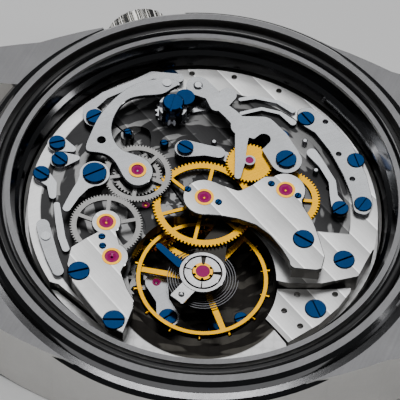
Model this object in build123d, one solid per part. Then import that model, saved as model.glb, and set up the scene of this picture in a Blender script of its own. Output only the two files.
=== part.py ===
from build123d import *
import os
from math import acos, atan2, cos, degrees, hypot, pi, radians, sin

# A hand-wound chronograph movement, seen from its bridge side, cased up in a case middle
# whose back is off. Millimetres. The origin is on the movement's axis in the plane of the
# dial seat, +Z points out through the case back, +X runs from lug to lug.

# Movement and its main levels
movement_r = 15.5
plate_t = 1.8
bridge_t = 1.0
bridge_gap = 1.2
seat_clearance = 0.05
plate_top = plate_t
bridge_low = plate_top + bridge_gap
bridge_top = bridge_low + bridge_t
bridges_r = movement_r - 0.3 * bridge_t
lower_bridge_top = bridge_top - 0.9 * bridge_t

# Case middle
case_bottom = -2.0
dial_ledge_w = 0.9
dial_opening_r = movement_r - dial_ledge_w
inner_land_step = 1.61
inner_land_r = movement_r + inner_land_step
inner_land_w = 0.46
inner_land_top = 6.8
gasket_groove_w = 1.29
outer_land_w = 0.6
outer_land_r = inner_land_r + gasket_groove_w + outer_land_w
outer_land_top = 7.3
case_rim_w = 1.4
case_r = outer_land_r + case_rim_w
body_top = 6.2
groove_floor = 6.05
wall_step = 0.35
lug_gap_half = 10.0
lug_l = 3.9
lug_reach = case_r + lug_l
lug_edge = 0.35
strap_bar_r = 0.45
strap_bar_inset = 2.1
strap_bar_x = lug_reach - strap_bar_inset
strap_bar_z = 3.6
gasket_r = 0.42

# Crown and stem, along one line through the movement's axis
stem_angle = 110.0
stem_r = 0.45
stem_fit = 0.04
crown_r = 2.95
crown_l = 2.6
crown_sunk_by = 0.4
crown_start = case_r - crown_sunk_by
crown_flutes = 22
flute_r = 0.26
crown_gap = 0.5
crown_recess_at = crown_start - crown_gap
crown_recess_half = 3.9
crown_hollow_r = 1.5
crown_hollow = 1.4
tube_r = 1.0
tube_inset = 1.1
tube_start = movement_r + tube_inset
tube_in_crown = 1.0
tube_end = crown_start + tube_in_crown

# Fits and small clearances
pivot_gap = 0.03
screw_gap = 0.02
wheel_gap = 0.12
side_gap = 0.05
overrun = 1.0

# Wheel thickness and levels over the bridges
wheel_t = 0.16
spoke_w = 0.34
arbor_r = 0.22
pivot_r = 0.09
chrono_wheel_z = bridge_top + 0.42
clutch_wheel_z = bridge_top + 0.70
recorder_wheel_z = bridge_top + 0.06
cock_low = bridge_top + 0.96
cock_top = bridge_top + 1.28
chrono_bridge_low = bridge_top + 1.0
chrono_bridge_top = bridge_top + 1.6
lever_t = 0.3

# Going train levels, under the bridges
train_wheel_t = 0.15
level_a = plate_top + 0.25
level_b = plate_top + 0.62
level_c = plate_top + 0.98

# Tooth counts
barrel_teeth = 72
centre_pinion_teeth = 12
centre_teeth = 80
third_pinion_teeth = 10
third_teeth = 75
fourth_pinion_teeth = 10
fourth_teeth = 80
escape_pinion_teeth = 8
escape_teeth = 15
driving_teeth = 72
coupling_teeth = 70
coupling_lower_teeth = 40
chrono_teeth = 84
intermediate_teeth = 40
intermediate_lower_teeth = 30
recorder_teeth = 64
crown_wheel_teeth = 36
ratchet_teeth = 60
winding_pinion_teeth = 14
cannon_teeth = 14
minute_wheel_teeth = 42
minute_pinion_teeth = 10
hour_wheel_teeth = 40

# Places of arbors and fasteners, as shares of the movement's radius
centre_share = (0.0, 0.0)
fourth_share = (-0.527, -0.206)
third_share = (-0.323, -0.013)
escape_share = (-0.475, -0.427)
pallet_share = (-0.224, -0.467)
balance_share = (0.025, -0.449)
barrel_share = (0.252, 0.426)
coupling_share = (-0.386, 0.157)
intermediate_share = (0.238, 0.292)
recorder_share = (0.450, 0.095)
column_share = (-0.222, 0.632)
minute_wheel_share = (0.246, -0.142)

# Balance and escapement
balance_r = 5.6
rim_w = 0.33
rim_h = 0.7
rim_top = bridge_top - 0.35
arm_t = 0.22
arm_w = 0.62
balance_arms = 3
arm_turn = 54.0
timing_screws = 14
timing_head_r = 0.17
timing_head_l = 0.3
balance_opening_r = 6.3
roller_r = 1.1
spring_wire_r = 0.07
spring_half_turns = 9
spring_inner_r = 0.95
spring_pitch = 0.57
spring_z = bridge_top - 0.42
cock_arm_t = 0.36
cock_arm_low = bridge_top - 0.1
regulator_r = 2.05
regulator_t = 0.26
shock_r = 0.85
shock_t = 0.2

# Screws, jewels and pins
large_head_r = 0.92
medium_head_r = 0.78
tiny_head_r = 0.3
head_h = 0.24
slot_w = 0.17
slot_depth = 0.16
shank_share = 0.5
shank_l = 0.9
jewel_r = 0.62
jewel_t = 0.24
chaton_w = 0.22
small_jewel_r = 0.36
pin_r = 0.24
hole_r = 0.27


def at(share):
    """A place on the movement from its share of the movement's radius."""
    return (share[0] * movement_r, share[1] * movement_r)


def spread(shares):
    return [at(s) for s in shares]


def strokes_at(shares):
    return [tuple(value * movement_r for value in s) for s in shares]


def distance(a, b):
    return hypot(b[0] - a[0], b[1] - a[1])


def heading(a, b):
    return degrees(atan2(b[1] - a[1], b[0] - a[0]))


def polar(radius, angle, centre=(0, 0)):
    return (centre[0] + radius * cos(radians(angle)), centre[1] + radius * sin(radians(angle)))


centre_at = at(centre_share)
fourth_at = at(fourth_share)
third_at = at(third_share)
escape_at = at(escape_share)
pallet_at = at(pallet_share)
balance_at = at(balance_share)
barrel_at = at(barrel_share)
coupling_at = at(coupling_share)
intermediate_at = at(intermediate_share)
recorder_at = at(recorder_share)
column_at = at(column_share)
minute_wheel_at = at(minute_wheel_share)


def disc(radius, low, high, place=(0, 0)):
    """A round solid standing between two levels."""
    body = Cylinder(radius, high - low, align=(Align.CENTER, Align.CENTER, Align.MIN))
    return Pos(place[0], place[1], low) * body


def ring(outer, inner, low, high, place=(0, 0)):
    return disc(outer, low, high, place) - disc(inner, low - overrun, high + overrun, place)


def raised(face, low, high):
    """A flat outline drawn up between two levels."""
    return Pos(0, 0, low) * extrude(face, high - low)


def outline(points, corner=0):
    """A closed outline with straight sides and rounded corners."""
    face = make_face(Polyline(*points, close=True))
    if corner > 0:
        face = fillet(face.vertices(), corner)
    return face


def smooth_outline(points):
    return make_face(Spline(*points, periodic=True))


def link(a, b):
    """The flat shape of a bar between two round ends of any radii."""
    span = distance(a, b)
    turn = acos((a[2] - b[2]) / span)
    along = radians(heading(a, b))
    corners = [
        (p[0] + p[2] * cos(along + side * turn), p[1] + p[2] * sin(along + side * turn))
        for side, pair in ((1, (a, b)), (-1, (b, a)))
        for p in pair
    ]
    bar = make_face(Polyline(*corners, close=True))
    return bar + Pos(a[0], a[1]) * Circle(a[2]) + Pos(b[0], b[1]) * Circle(b[2])


def lever_face(stops):
    """One lever's outline, drawn as bars through its round stops."""
    face = link(stops[0], stops[1])
    for a, b in zip(stops[1:], stops[2:]):
        face = face + link(a, b)
    return face


def lever(stops, low, high):
    return raised(lever_face(stops), low, high)


def broken_edge(solid, amount):
    """Bevels the upper rim of a flat piece, as a bridge's polished edge."""
    top = solid.faces().sort_by(Axis.Z)[-1]
    return chamfer(top.outer_wire().edges(), amount)


def tooth_outline(teeth, pitch_r, tooth_share=0.46, height_share=0.85, phase=0.0):
    """A toothed wheel's outline: straight-sided teeth, one centred on the phase angle."""
    module = 2 * pitch_r / teeth
    tip_r = pitch_r + height_share * module
    root_r = pitch_r - (height_share + 0.25) * module
    step = 360 / teeth
    root_half = step * (tooth_share + 0.22) / 2
    tip_half = step * (tooth_share - 0.2) / 2
    points = []
    for i in range(teeth):
        middle = phase + i * step
        points += [polar(root_r, middle - root_half), polar(tip_r, middle - tip_half)]
        points += [polar(tip_r, middle + tip_half), polar(root_r, middle + root_half)]
    return make_face(Polyline(*points, close=True))


def root_radius(teeth, pitch_r):
    return pitch_r - 1.1 * 2 * pitch_r / teeth


def tip_radius(teeth, pitch_r):
    return pitch_r + 0.85 * 2 * pitch_r / teeth


def mesh_phase(teeth_a, phase_a, teeth_b, a, b):
    """The phase that puts a gap of wheel b where wheel a has a tooth."""
    line = heading(a, b)
    past = (line - phase_a) % (360 / teeth_a)
    return line + 180 + past * teeth_a / teeth_b + 180 / teeth_b


def pitch_radii(teeth_a, teeth_b, a, b):
    """Pitch radii of two wheels in mesh, from their tooth counts and their arbors."""
    span = distance(a, b)
    return span * teeth_a / (teeth_a + teeth_b), span * teeth_b / (teeth_a + teeth_b)


def spoked_face(teeth, pitch_r, phase, spokes, rim, hub_r, first=0.0, width=spoke_w):
    """A toothed rim, a hub and the spokes that join them."""
    inside = root_radius(teeth, pitch_r) - rim
    face = tooth_outline(teeth, pitch_r, phase=phase) - Circle(inside)
    face = face + Circle(hub_r)
    reach = inside + rim / 2
    for i in range(spokes):
        bar = Pos(reach / 2, 0) * Rectangle(reach, width)
        face = face + Rot(0, 0, first + i * 360 / spokes) * bar
    return face


def wheel(face, low, place, thickness=wheel_t):
    return Pos(place[0], place[1], 0) * raised(face, low, low + thickness)


def pinion(teeth, pitch_r, low, high, place, phase=0.0):
    face = tooth_outline(teeth, pitch_r, tooth_share=0.42, height_share=0.7, phase=phase)
    return Pos(place[0], place[1], 0) * raised(face, low, high)


def arbor(place, low, high, body_low, body_high, radius=arbor_r, tip=pivot_r):
    """A shaft with a thin pivot at each end."""
    shaft = disc(tip, low, high, place)
    return shaft + disc(radius, body_low, body_high, place)


def screw(place, seat, head_r, slot_turn, length=shank_l, height=head_h):
    """A slotted screw whose head stands on its seat."""
    head = disc(head_r, seat, seat + height, place)
    head = chamfer(head.edges().sort_by(Axis.Z)[-1], height / 4)
    head = head + disc(head_r * shank_share, seat - length, seat, place)
    cut = Box(4 * head_r, slot_w * head_r / large_head_r + slot_w / 4, slot_depth,
              align=(Align.CENTER, Align.CENTER, Align.MAX))
    return head - Pos(place[0], place[1], seat + height) * Rot(0, 0, slot_turn) * cut


def jewel(place, low, high, radius, bore=pivot_r + pivot_gap):
    """A drilled ruby with a dished upper face."""
    stone = ring(radius, bore, low, high, place)
    dish = Pos(place[0], place[1], high) * Cone(bore, radius * 0.6, (high - low) / 3,
                                                align=(Align.CENTER, Align.CENTER, Align.MAX))
    return stone - dish


# Pitch radii, all from the arbors' places
barrel_pitch, centre_pinion_pitch = pitch_radii(barrel_teeth, centre_pinion_teeth, barrel_at, centre_at)
centre_pitch, third_pinion_pitch = pitch_radii(centre_teeth, third_pinion_teeth, centre_at, third_at)
third_pitch, fourth_pinion_pitch = pitch_radii(third_teeth, fourth_pinion_teeth, third_at, fourth_at)
fourth_pitch, escape_pinion_pitch = pitch_radii(fourth_teeth, escape_pinion_teeth, fourth_at, escape_at)
driving_pitch, coupling_pitch = pitch_radii(driving_teeth, coupling_teeth, fourth_at, coupling_at)
coupling_lower_pitch, chrono_pitch = pitch_radii(coupling_lower_teeth, chrono_teeth, coupling_at, centre_at)
intermediate_lower_pitch, recorder_pitch = pitch_radii(
    intermediate_lower_teeth, recorder_teeth, intermediate_at, recorder_at)
cannon_pitch, minute_wheel_pitch = pitch_radii(cannon_teeth, minute_wheel_teeth, centre_at, minute_wheel_at)
minute_pinion_pitch, hour_pitch = pitch_radii(minute_pinion_teeth, hour_wheel_teeth, minute_wheel_at, centre_at)
intermediate_r = 0.128 * movement_r
escape_r = distance(escape_at, fourth_at) - 4 * arbor_r
crown_wheel_reach = 0.53 * movement_r
crown_wheel_at = polar(crown_wheel_reach, stem_angle)
crown_wheel_pitch, ratchet_pitch = pitch_radii(
    crown_wheel_teeth, ratchet_teeth, crown_wheel_at, barrel_at)
winding_low = bridge_low - 0.15
winding_t = 0.3
winding_start = crown_wheel_reach + root_radius(crown_wheel_teeth, crown_wheel_pitch) - 2 * side_gap
winding_pinion_r = 0.9
winding_pinion_l = 0.7
sliding_start = winding_start + winding_pinion_l + side_gap
sliding_pinion_l = 1.15
square_end = sliding_start + sliding_pinion_l + 0.8
stem_inner_end = winding_start - 1.0
stem_z = winding_low - side_gap - tip_radius(winding_pinion_teeth, winding_pinion_r)
stem_groove_at = square_end + stem_r

# Levels of barrel and centre arbor
barrel_low = 0.55
barrel_top = plate_top + 0.15
barrel_wall = 0.22
hollow_arbor_r = 0.6
chrono_arbor_r = 0.24
cannon_r = 0.75
hour_pipe_r = 1.15
dial_works_t = 0.35
hand_seat_z = case_bottom + 0.1
cannon_tip = 0.3
minute_seat_r = 0.42
minute_seat_l = 0.44
minute_seat_top = hand_seat_z + cannon_tip + minute_seat_l
hour_seat_z = minute_seat_top + side_gap / 2
cannon_low = minute_seat_top + side_gap / 2


def stem_place(solid):
    """Turns a solid drawn along +Z so that it lies along the stem."""
    return Rot(0, 0, stem_angle) * Pos(0, 0, stem_z) * Rot(0, 90, 0) * solid


def stem_disc(radius, start, end):
    return stem_place(disc(radius, start, end))


# Case

def case_ring():
    """The turned ring: movement seat, polished wall, gasket groove and two lands."""
    seat_r = movement_r + seat_clearance
    groove_out = outer_land_r - outer_land_w
    land_in = inner_land_r - inner_land_w
    wall_r = seat_r + (land_in - seat_r) / 2
    profile = [
        (dial_opening_r, case_bottom),
        (dial_opening_r, 0),
        (seat_r, 0),
        (seat_r, bridge_top),
        (wall_r - wall_step / 2, body_top - 3 * wall_step),
        (wall_r + wall_step / 2, body_top - 2 * wall_step),
        (land_in, inner_land_top - wall_step),
        (land_in, inner_land_top),
        (inner_land_r, inner_land_top),
        (inner_land_r, groove_floor),
        (groove_out, groove_floor),
        (groove_out, outer_land_top),
        (outer_land_r, outer_land_top),
        (outer_land_r + wall_step, outer_land_top - wall_step),
        (outer_land_r + 1.6 * wall_step, body_top + lug_edge / 2),
        (case_r - lug_edge, body_top),
        (case_r, body_top - lug_edge),
        (case_r, case_bottom + 3 * lug_edge),
        (case_r - 2 * lug_edge, case_bottom),
    ]
    face = make_face(Plane.XZ * Polyline(*profile, close=True))
    return revolve(face, Axis.Z)


lug_flank_shares = [(0.3, 0.95), (0.505, 0.850), (0.591, 0.820), (0.698, 0.774), (0.783, 0.733),
                    (0.869, 0.713), (0.956, 0.690)]
lug_tip_y_share = 0.63
lug_side_shares = [(0.7, 0.02), (0.8, 0.05), (0.94, 0.2), (1.02, 0.42), (1.12, 0.62)]


def lug(side_x, side_y):
    """One lug: its plan outline cut to its curved side view."""
    root_x = inner_land_r * 0.55
    plan = [(x * case_r, y * case_r) for x, y in lug_flank_shares]
    plan += [(lug_reach, lug_tip_y_share * case_r), (lug_reach, lug_gap_half), (root_x, lug_gap_half)]
    block = raised(outline(plan), case_bottom, body_top)
    height = body_top - case_bottom
    under = [(x * case_r, case_bottom + share * height) for x, share in lug_side_shares]
    side = [(root_x, case_bottom)] + under
    side += [(lug_reach, body_top - 3 * lug_edge), (lug_reach - 2 * lug_edge, body_top - lug_edge)]
    side += [(case_r, body_top), (root_x, body_top)]
    slab = extrude(make_face(Plane.XZ * Polyline(*side, close=True)), case_r, both=True)
    piece = block & slab
    if side_x < 0:
        piece = mirror(piece, Plane.YZ)
    if side_y < 0:
        piece = mirror(piece, Plane.XZ)
    return piece


def make_case_middle():
    bore = disc(outer_land_r - outer_land_w / 2, case_bottom - overrun, outer_land_top + overrun)
    body = case_ring()
    for side_x in (1, -1):
        for side_y in (1, -1):
            body = body + (lug(side_x, side_y) - bore)
    recess = Box(case_r, 2 * crown_recess_half, body_top - case_bottom + 4 * overrun,
                 align=(Align.MIN, Align.CENTER, Align.MIN))
    recess = Rot(0, 0, stem_angle) * Pos(crown_recess_at, 0, case_bottom - 2 * overrun) * recess
    body = body - (recess - disc(outer_land_r, body_top - lug_edge, outer_land_top + overrun))
    body = body - stem_disc(tube_r, movement_r - overrun, case_r + overrun)
    bar = Rot(90, 0, 0) * Cylinder(strap_bar_r, 2 * case_r)
    for side_x in (1, -1):
        body = body - Pos(side_x * strap_bar_x, 0, strap_bar_z) * bar
    return body


def make_case_gasket():
    middle = (inner_land_r + outer_land_r - outer_land_w) / 2
    return Pos(0, 0, groove_floor + gasket_r) * Torus(middle, gasket_r)


def make_crown_tube():
    tube = stem_disc(tube_r, tube_start, tube_end)
    return tube - stem_disc(stem_r + stem_fit, tube_start - overrun, tube_end + overrun)


# Crown, stem and keyless works

def make_crown():
    """A fluted crown with a bevelled outer end and a blind bore for its gasket."""
    body = disc(crown_r, crown_start, crown_start + crown_l)
    body = chamfer(body.edges().sort_by(Axis.Z)[-1], crown_l / 8)
    body = chamfer(body.edges().sort_by(Axis.Z)[0], crown_l / 12)
    flute = disc(flute_r, crown_start - overrun, crown_start + crown_l + overrun, (crown_r, 0))
    flutes = [Rot(0, 0, i * 360 / crown_flutes) * flute for i in range(crown_flutes)]
    body = body - flutes
    hollow = crown_start + crown_hollow
    body = body - disc(crown_hollow_r, crown_start - overrun, hollow)
    body = body - disc(stem_r, crown_start - overrun, hollow + stem_r)
    return stem_place(body)


def make_crown_gasket():
    low = crown_start + 2 * side_gap
    gasket = ring(crown_hollow_r, tube_r + pivot_gap, low, low + gasket_r)
    return stem_place(gasket)


def make_stem():
    """The stem: a thin inner pilot, a square for the sliding pinion, and its outer shaft."""
    body = disc(stem_r, square_end, crown_start + crown_hollow + stem_r)
    square_start = winding_start + winding_pinion_l + side_gap / 2
    square = Box(1.3 * stem_r, 1.3 * stem_r, square_end - square_start,
                 align=(Align.CENTER, Align.CENTER, Align.MIN))
    body = body + Pos(0, 0, square_start) * square
    body = body + disc(0.6 * stem_r, stem_inner_end, square_start)
    groove = ring(stem_r + overrun, 0.75 * stem_r, stem_groove_at, stem_groove_at + stem_r)
    return stem_place(body - groove)


def make_winding_pinion():
    face = tooth_outline(winding_pinion_teeth, winding_pinion_r, height_share=0.5)
    body = raised(face, winding_start, winding_start + winding_pinion_l * 0.6)
    body = body + disc(0.8 * winding_pinion_r, winding_start, winding_start + winding_pinion_l)
    return stem_place(body - disc(0.6 * stem_r + stem_fit, winding_start - overrun, sliding_start))


def make_sliding_pinion():
    """The sliding pinion, with the groove that the yoke sits in."""
    end = sliding_start + sliding_pinion_l
    body = disc(0.8 * winding_pinion_r, sliding_start, end)
    waist_low = yoke_groove_at - 2 * finger_r
    waist_high = yoke_groove_at + 2 * finger_r
    body = body - ring(winding_pinion_r + overrun, 0.55 * winding_pinion_r, waist_low, waist_high)
    return stem_place(body - disc(stem_r + stem_fit, sliding_start - overrun, end + overrun))


def keyless_pocket():
    """The room for the stem and its two pinions in the plate and bridge."""
    room = winding_pinion_r + 3 * side_gap
    pocket = stem_disc(room, winding_start - side_gap, sliding_start + sliding_pinion_l + 2 * side_gap)
    pocket = pocket + stem_disc(0.6 * stem_r + stem_fit, stem_inner_end - side_gap, winding_start)
    return pocket + stem_disc(stem_r + stem_fit, winding_start, movement_r + overrun)


# Setting works: a lever in the stem's groove and a yoke in the sliding pinion's, in a dial-side recess
setting_depth = 0.95
setting_low = 0.4
setting_t = 0.28
setting_cover_t = 0.22
setting_cover_low = 0.05
setting_pivot = polar(0.8 * movement_r, stem_angle + 10)
yoke_pivot = polar(0.81 * movement_r, stem_angle - 13)
yoke_groove_at = sliding_start + 0.525 * sliding_pinion_l
finger_r = 0.15
setting_swing = 13.5
yoke_swing = 2.2
lever_tip = polar(stem_groove_at + stem_r / 2, stem_angle)
yoke_tip = polar(yoke_groove_at, stem_angle)


setting_cover_r = 0.7
setting_room_w = 0.35
lever_room_r = 0.9
lever_room_tip_r = 0.6


def setting_face(margin):
    radius = setting_cover_r + margin
    return lever_face([(*setting_pivot, radius), (*yoke_tip, radius), (*yoke_pivot, radius)])


def swung_place(tip, pivot, swing):
    return polar(distance(pivot, tip), heading(pivot, tip) + swing, pivot)


def setting_recess():
    """The dial-side recess that holds the setting lever, the yoke and their cover."""
    swung_tip = swung_place(lever_tip, setting_pivot, setting_swing)
    face = setting_face(setting_room_w)
    face = face + link((*setting_pivot, lever_room_r), (*lever_tip, lever_room_tip_r))
    face = face + link((*setting_pivot, lever_room_r), (*swung_tip, lever_room_tip_r))
    recess = raised(face, -overrun, setting_depth)
    for tip, pivot, swing in ((lever_tip, setting_pivot, setting_swing), (yoke_tip, yoke_pivot, yoke_swing)):
        swung = swung_place(tip, pivot, swing)
        slot = link((*tip, finger_r + 2 * side_gap), (*swung, finger_r + 2 * side_gap))
        recess = recess + raised(slot, 0, stem_z)
    return recess


def setting_hole(place):
    return disc(pin_r + pivot_gap, -overrun, setting_depth, place)


def make_setting_lever():
    stops = [(*setting_pivot, 0.5), (*lever_tip, 0.26)]
    body = lever(stops, setting_low, setting_low + setting_t) - setting_hole(setting_pivot)
    return body + disc(finger_r, setting_low + setting_t, stem_z - 0.75 * stem_r - pivot_gap, lever_tip)


def make_yoke():
    stops = [(*yoke_pivot, 0.45), (*yoke_tip, 0.24)]
    body = lever(stops, setting_low, setting_low + setting_t) - setting_hole(yoke_pivot)
    waist = 0.55 * winding_pinion_r
    return body + disc(finger_r, setting_low + setting_t, stem_z - waist - pivot_gap, yoke_tip)


def make_setting_bridge():
    """The cover plate over setting lever and yoke, with their two posts."""
    body = raised(setting_face(0), setting_cover_low, setting_cover_low + setting_cover_t)
    for place in (setting_pivot, yoke_pivot):
        body = body + disc(pin_r, setting_cover_low, setting_post_top, place)
    return body


setting_post_top = 1.3


# Mainplate and bridges

barrel_bridge_shares = [(-0.06, -0.06), (-0.33, 0.33), (-0.62, 0.60), (-0.8, 0.9), (0.0, 1.1), (1.1, 1.1),
                        (1.1, -0.12), (0.955, -0.19), (0.915, -0.281), (0.878, -0.369), (0.682, -0.434),
                        (0.5, -0.451), (0.3, -0.42)]
train_bridge_shares = [(-0.067, -0.067), (-0.337, 0.323), (-0.627, 0.593), (-0.807, 0.893), (-1.1, 0.9),
                       (-1.1, -0.5), (-0.75, -0.58), (-0.52, -0.76), (-0.36, -0.66), (-0.2, -0.3)]
border_shares = [(-1.1, -0.51), (-0.757, -0.59), (-0.522, -0.77), (-0.36, -0.672), (0.0, -0.8),
                 (0.372, -0.655), (0.44, -0.725), (0.503, -0.80), (0.56, -1.1), (-1.1, -1.1)]
lower_bridge_shares = [(0.42, -0.46), (0.687, -0.44), (0.847, -0.414), (0.842, -0.44), (0.78, -0.545),
                       (0.68, -0.66), (0.515, -0.79), (0.446, -0.715), (0.378, -0.646)]
upper_train_shares = [(-0.703, -0.388), (-0.638, -0.329), (-0.572, -0.277), (-0.47, -0.255),
                      (-0.439, -0.349), (-0.388, -0.422), (-0.417, -0.522), (-0.375, -0.62),
                      (-0.331, -0.691), (-0.332, -0.748), (-0.37, -0.9), (-0.453, -0.86),
                      (-0.527, -0.785), (-0.6, -0.698), (-0.675, -0.604), (-0.713, -0.499)]
chrono_bridge_shares = [(0.0, -0.117), (0.095, -0.115), (0.195, -0.126), (0.297, -0.157), (0.377, -0.216),
                        (0.445, -0.3), (0.489, -0.372), (0.497, -0.418), (0.667, -0.418), (0.684, -0.324),
                        (0.647, -0.203), (0.611, -0.103), (0.551, -0.005), (0.53, 0.105), (0.42, 0.18),
                        (0.328, 0.175), (0.266, 0.115), (0.19, 0.06), (0.093, 0.091), (0.0, 0.13)]
chrono_foot_shares = [(0.47, -0.3), (0.497, -0.372), (0.507, -0.412), (0.66, -0.412), (0.672, -0.324),
                      (0.64, -0.21), (0.56, -0.21)]
recorder_plate_shares = [(0.489, 0.72), (0.57, 0.745), (0.689, 0.665), (0.821, 0.5), (0.908, 0.295),
                         (0.951, 0.107), (0.923, 0.014), (0.844, 0.03), (0.824, 0.148), (0.775, 0.281),
                         (0.697, 0.434), (0.606, 0.56), (0.517, 0.616)]
corner_r = 0.6
window_ledge = 0.15

large_screw_shares = {
    "train_upper": [(-0.644, -0.537, 20), (-0.427, -0.825, 5)],
    "chrono_bridge": [(0.562, -0.224, -28)],
    "barrel_bridge": [(0.798, -0.27, 28)],
    "lower_bridge": [(0.656, -0.566, -65)],
}
tiny_screw_shares = [(-0.095, 0.044), (0.081, -0.026), (0.368, 0.128), (0.521, 0.062)]
recorder_screw_shares = [(0.549, 0.658, -50), (0.845, 0.39, -70), (0.892, 0.092, 60)]
rim_screw_share = (-0.256, 0.905, 30)
under_screw_share = (-0.143, -0.681, 40)


def movement_disc():
    return Circle(bridges_r)


def balance_window(low, high, room=0.0):
    return disc(balance_opening_r + room, low, high, balance_at)


def train_room():
    """The pockets that the going train, barrel and winding wheels turn in."""
    low = plate_top - overrun
    room = disc(centre_pitch + wheel_gap * 3, low, level_a + train_wheel_t + wheel_gap, centre_at)
    room = room + disc(third_pitch + wheel_gap * 3, low, level_b + train_wheel_t + wheel_gap, third_at)
    room = room + disc(fourth_pitch + wheel_gap * 3, low, level_c + train_wheel_t + wheel_gap, fourth_at)
    room = room + disc(escape_r + wheel_gap * 2, low, level_a + train_wheel_t + wheel_gap, escape_at)
    pinion_room = 4 * arbor_r
    for place in (third_at, escape_at, fourth_at):
        room = room + disc(pinion_room, low, bridge_low, place)
    room = room + disc(barrel_room_r(), low, barrel_top + wheel_gap, barrel_at)
    winding_high = winding_low + winding_t + side_gap
    room = room + disc(ratchet_pitch * 1.05, low, winding_high, barrel_at)
    room = room + disc(crown_wheel_pitch * 1.08, low, winding_high, crown_wheel_at)
    return room


def barrel_room_r():
    return tip_radius(barrel_teeth, barrel_pitch) + wheel_gap


def screw_bores(entries, seat, head_r, length=shank_l):
    """The holes for a row of screws: a shank hole and a pocket for each head."""
    cut = None
    for entry in entries:
        place = at(entry)
        hole = disc(head_r * shank_share + screw_gap, seat - length - screw_gap, seat + overrun, place)
        hole = hole + disc(head_r + screw_gap, seat, seat + 3 * overrun, place)
        cut = hole if cut is None else cut + hole
    return cut


flush_depth = 0.14
train_upper_seat = cock_top - flush_depth
chrono_bridge_seat = chrono_bridge_top - flush_depth
barrel_bridge_seat = bridge_top - flush_depth
lower_bridge_seat = lower_bridge_top - flush_depth
recorder_plate_top = bridge_top + 0.45
recorder_seat = recorder_plate_top - flush_depth
tiny_seat = chrono_bridge_top - flush_depth


def jewel_bore(place, top, radius=jewel_r):
    """A chaton's seat and the arbor hole under it."""
    seat = disc(radius + chaton_w, top - jewel_t - chaton_floor, top + overrun, place)
    return seat + disc(arbor_r * 1.6, top - 3 * overrun, top + overrun, place)


chaton_floor = 0.06


def make_mainplate():
    body = disc(movement_r, 0, plate_top)
    border = raised(Circle(bridges_r) & outline(spread(border_shares)), plate_top, lower_bridge_top)
    body = body + (border - balance_window(plate_top - overrun, bridge_top + overrun, window_ledge))
    body = body - disc(barrel_room_r(), barrel_low - side_gap, plate_top + overrun, barrel_at)
    body = body - balance_window(balance_floor, plate_top + overrun, -side_gap)
    well = link((*at(well_shares[0]), well_r), (*at(well_shares[1]), well_r))
    body = body - raised(well, plate_top * 0.25, plate_top + overrun)
    body = body - keyless_pocket() - centre_pinion_room() - setting_recess()
    body = body - disc(hollow_arbor_r + pivot_gap, -overrun, plate_top + overrun)
    for place in (third_at, fourth_at, escape_at, pallet_at, balance_at):
        body = body - disc(small_jewel_r, plate_top * 0.45, plate_top + overrun, place)
    body = body - disc(pin_r + pivot_gap, -overrun, plate_top + overrun, barrel_at)
    for place in (setting_pivot, yoke_pivot):
        body = body - disc(pin_r, -overrun, setting_post_top, place)
    dial_works_top = dial_works_t + side_gap
    body = body - disc(tip_radius(cannon_teeth, cannon_pitch) + wheel_gap, -overrun, dial_works_top)
    minute_room = tip_radius(minute_wheel_teeth, minute_wheel_pitch) + wheel_gap
    body = body - disc(minute_room, -overrun, dial_works_top, minute_wheel_at)
    body = body + disc(pin_r, -hour_wheel_t - side_gap, dial_works_top, minute_wheel_at)
    for share in floor_screw_shares:
        shank = floor_screw_r * shank_share + screw_gap
        body = body - disc(shank, balance_floor - shank_l / 2, plate_top, at(share))
    for side in (1, -1):
        body = body - disc(foot_r, -overrun, foot_depth, (side * foot_x, 0))
    body = body - screw_bores(large_screw_shares["lower_bridge"], lower_bridge_seat, large_head_r)
    body = body - screw_bores([under_screw_share], under_seat, medium_head_r, 2 * shank_l / 3)
    return body


foot_r = 0.6
foot_x = 12.6
well_shares = [(-0.02, -0.60), (0.05, -0.60)]
well_r = 0.9
foot_depth = 1.2
balance_floor = 0.7 * plate_top
floor_screw_shares = [(0.114, -0.684, -30), (0.257, -0.600, 25)]
floor_screw_r = 0.6
pallet_bridge_top = rim_top - rim_h - 0.2
pallet_bridge_t = 0.3
under_seat = pallet_bridge_top - flush_depth


pocket_shares = [(-0.548, 0.375), (-0.530, 0.450), (-0.475, 0.507), (-0.419, 0.524), (-0.352, 0.505),
                 (-0.330, 0.430), (-0.345, 0.350), (-0.400, 0.310), (-0.455, 0.272), (-0.507, 0.268),
                 (-0.540, 0.310)]
pocket_depth = 0.6


def lever_pocket():
    """The pocket milled inside the coupling lever's arc, round the blued screw that stands there."""
    face = smooth_outline(spread(pocket_shares)) - Pos(*at(blue_pin_shares[1])) * Circle(1.5 * pin_head_r)
    return raised(face, bridge_top - pocket_depth, bridge_top + overrun)


def make_barrel_bridge():
    face = movement_disc() & outline(spread(barrel_bridge_shares))
    body = raised(face, plate_top, bridge_top)
    body = body - balance_window(plate_top - overrun, bridge_top + overrun)
    body = body - train_room() - keyless_pocket()
    foot = outline([at(s) for s in chrono_foot_shares])
    body = body - raised(foot, bridge_top - overrun, bridge_top + overrun)
    body = body - disc(hollow_arbor_r + pivot_gap, plate_top, bridge_top + overrun)
    body = body - disc(arbor_r * 1.6, bridge_low + jewel_t, bridge_top + overrun, recorder_at)
    body = body - disc(pin_r + pivot_gap, plate_top, bridge_top - bridge_t / 4, barrel_at)
    body = body - disc(core_r, plate_top, bridge_top - bridge_t / 4, crown_wheel_at)
    body = body - disc(small_jewel_r, bridge_low, bridge_low + jewel_t, recorder_at)
    body = body - click_room()
    body = body + disc(pin_r, winding_low - side_gap, bridge_low + bridge_t / 2, click_at())
    body = body - screw_bores(large_screw_shares["barrel_bridge"], barrel_bridge_seat, large_head_r)
    body = body - screw_bores([rim_screw_share], barrel_bridge_seat, medium_head_r)
    body = body - post_bores() - lever_pocket()
    return body


core_r = 0.5


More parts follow.
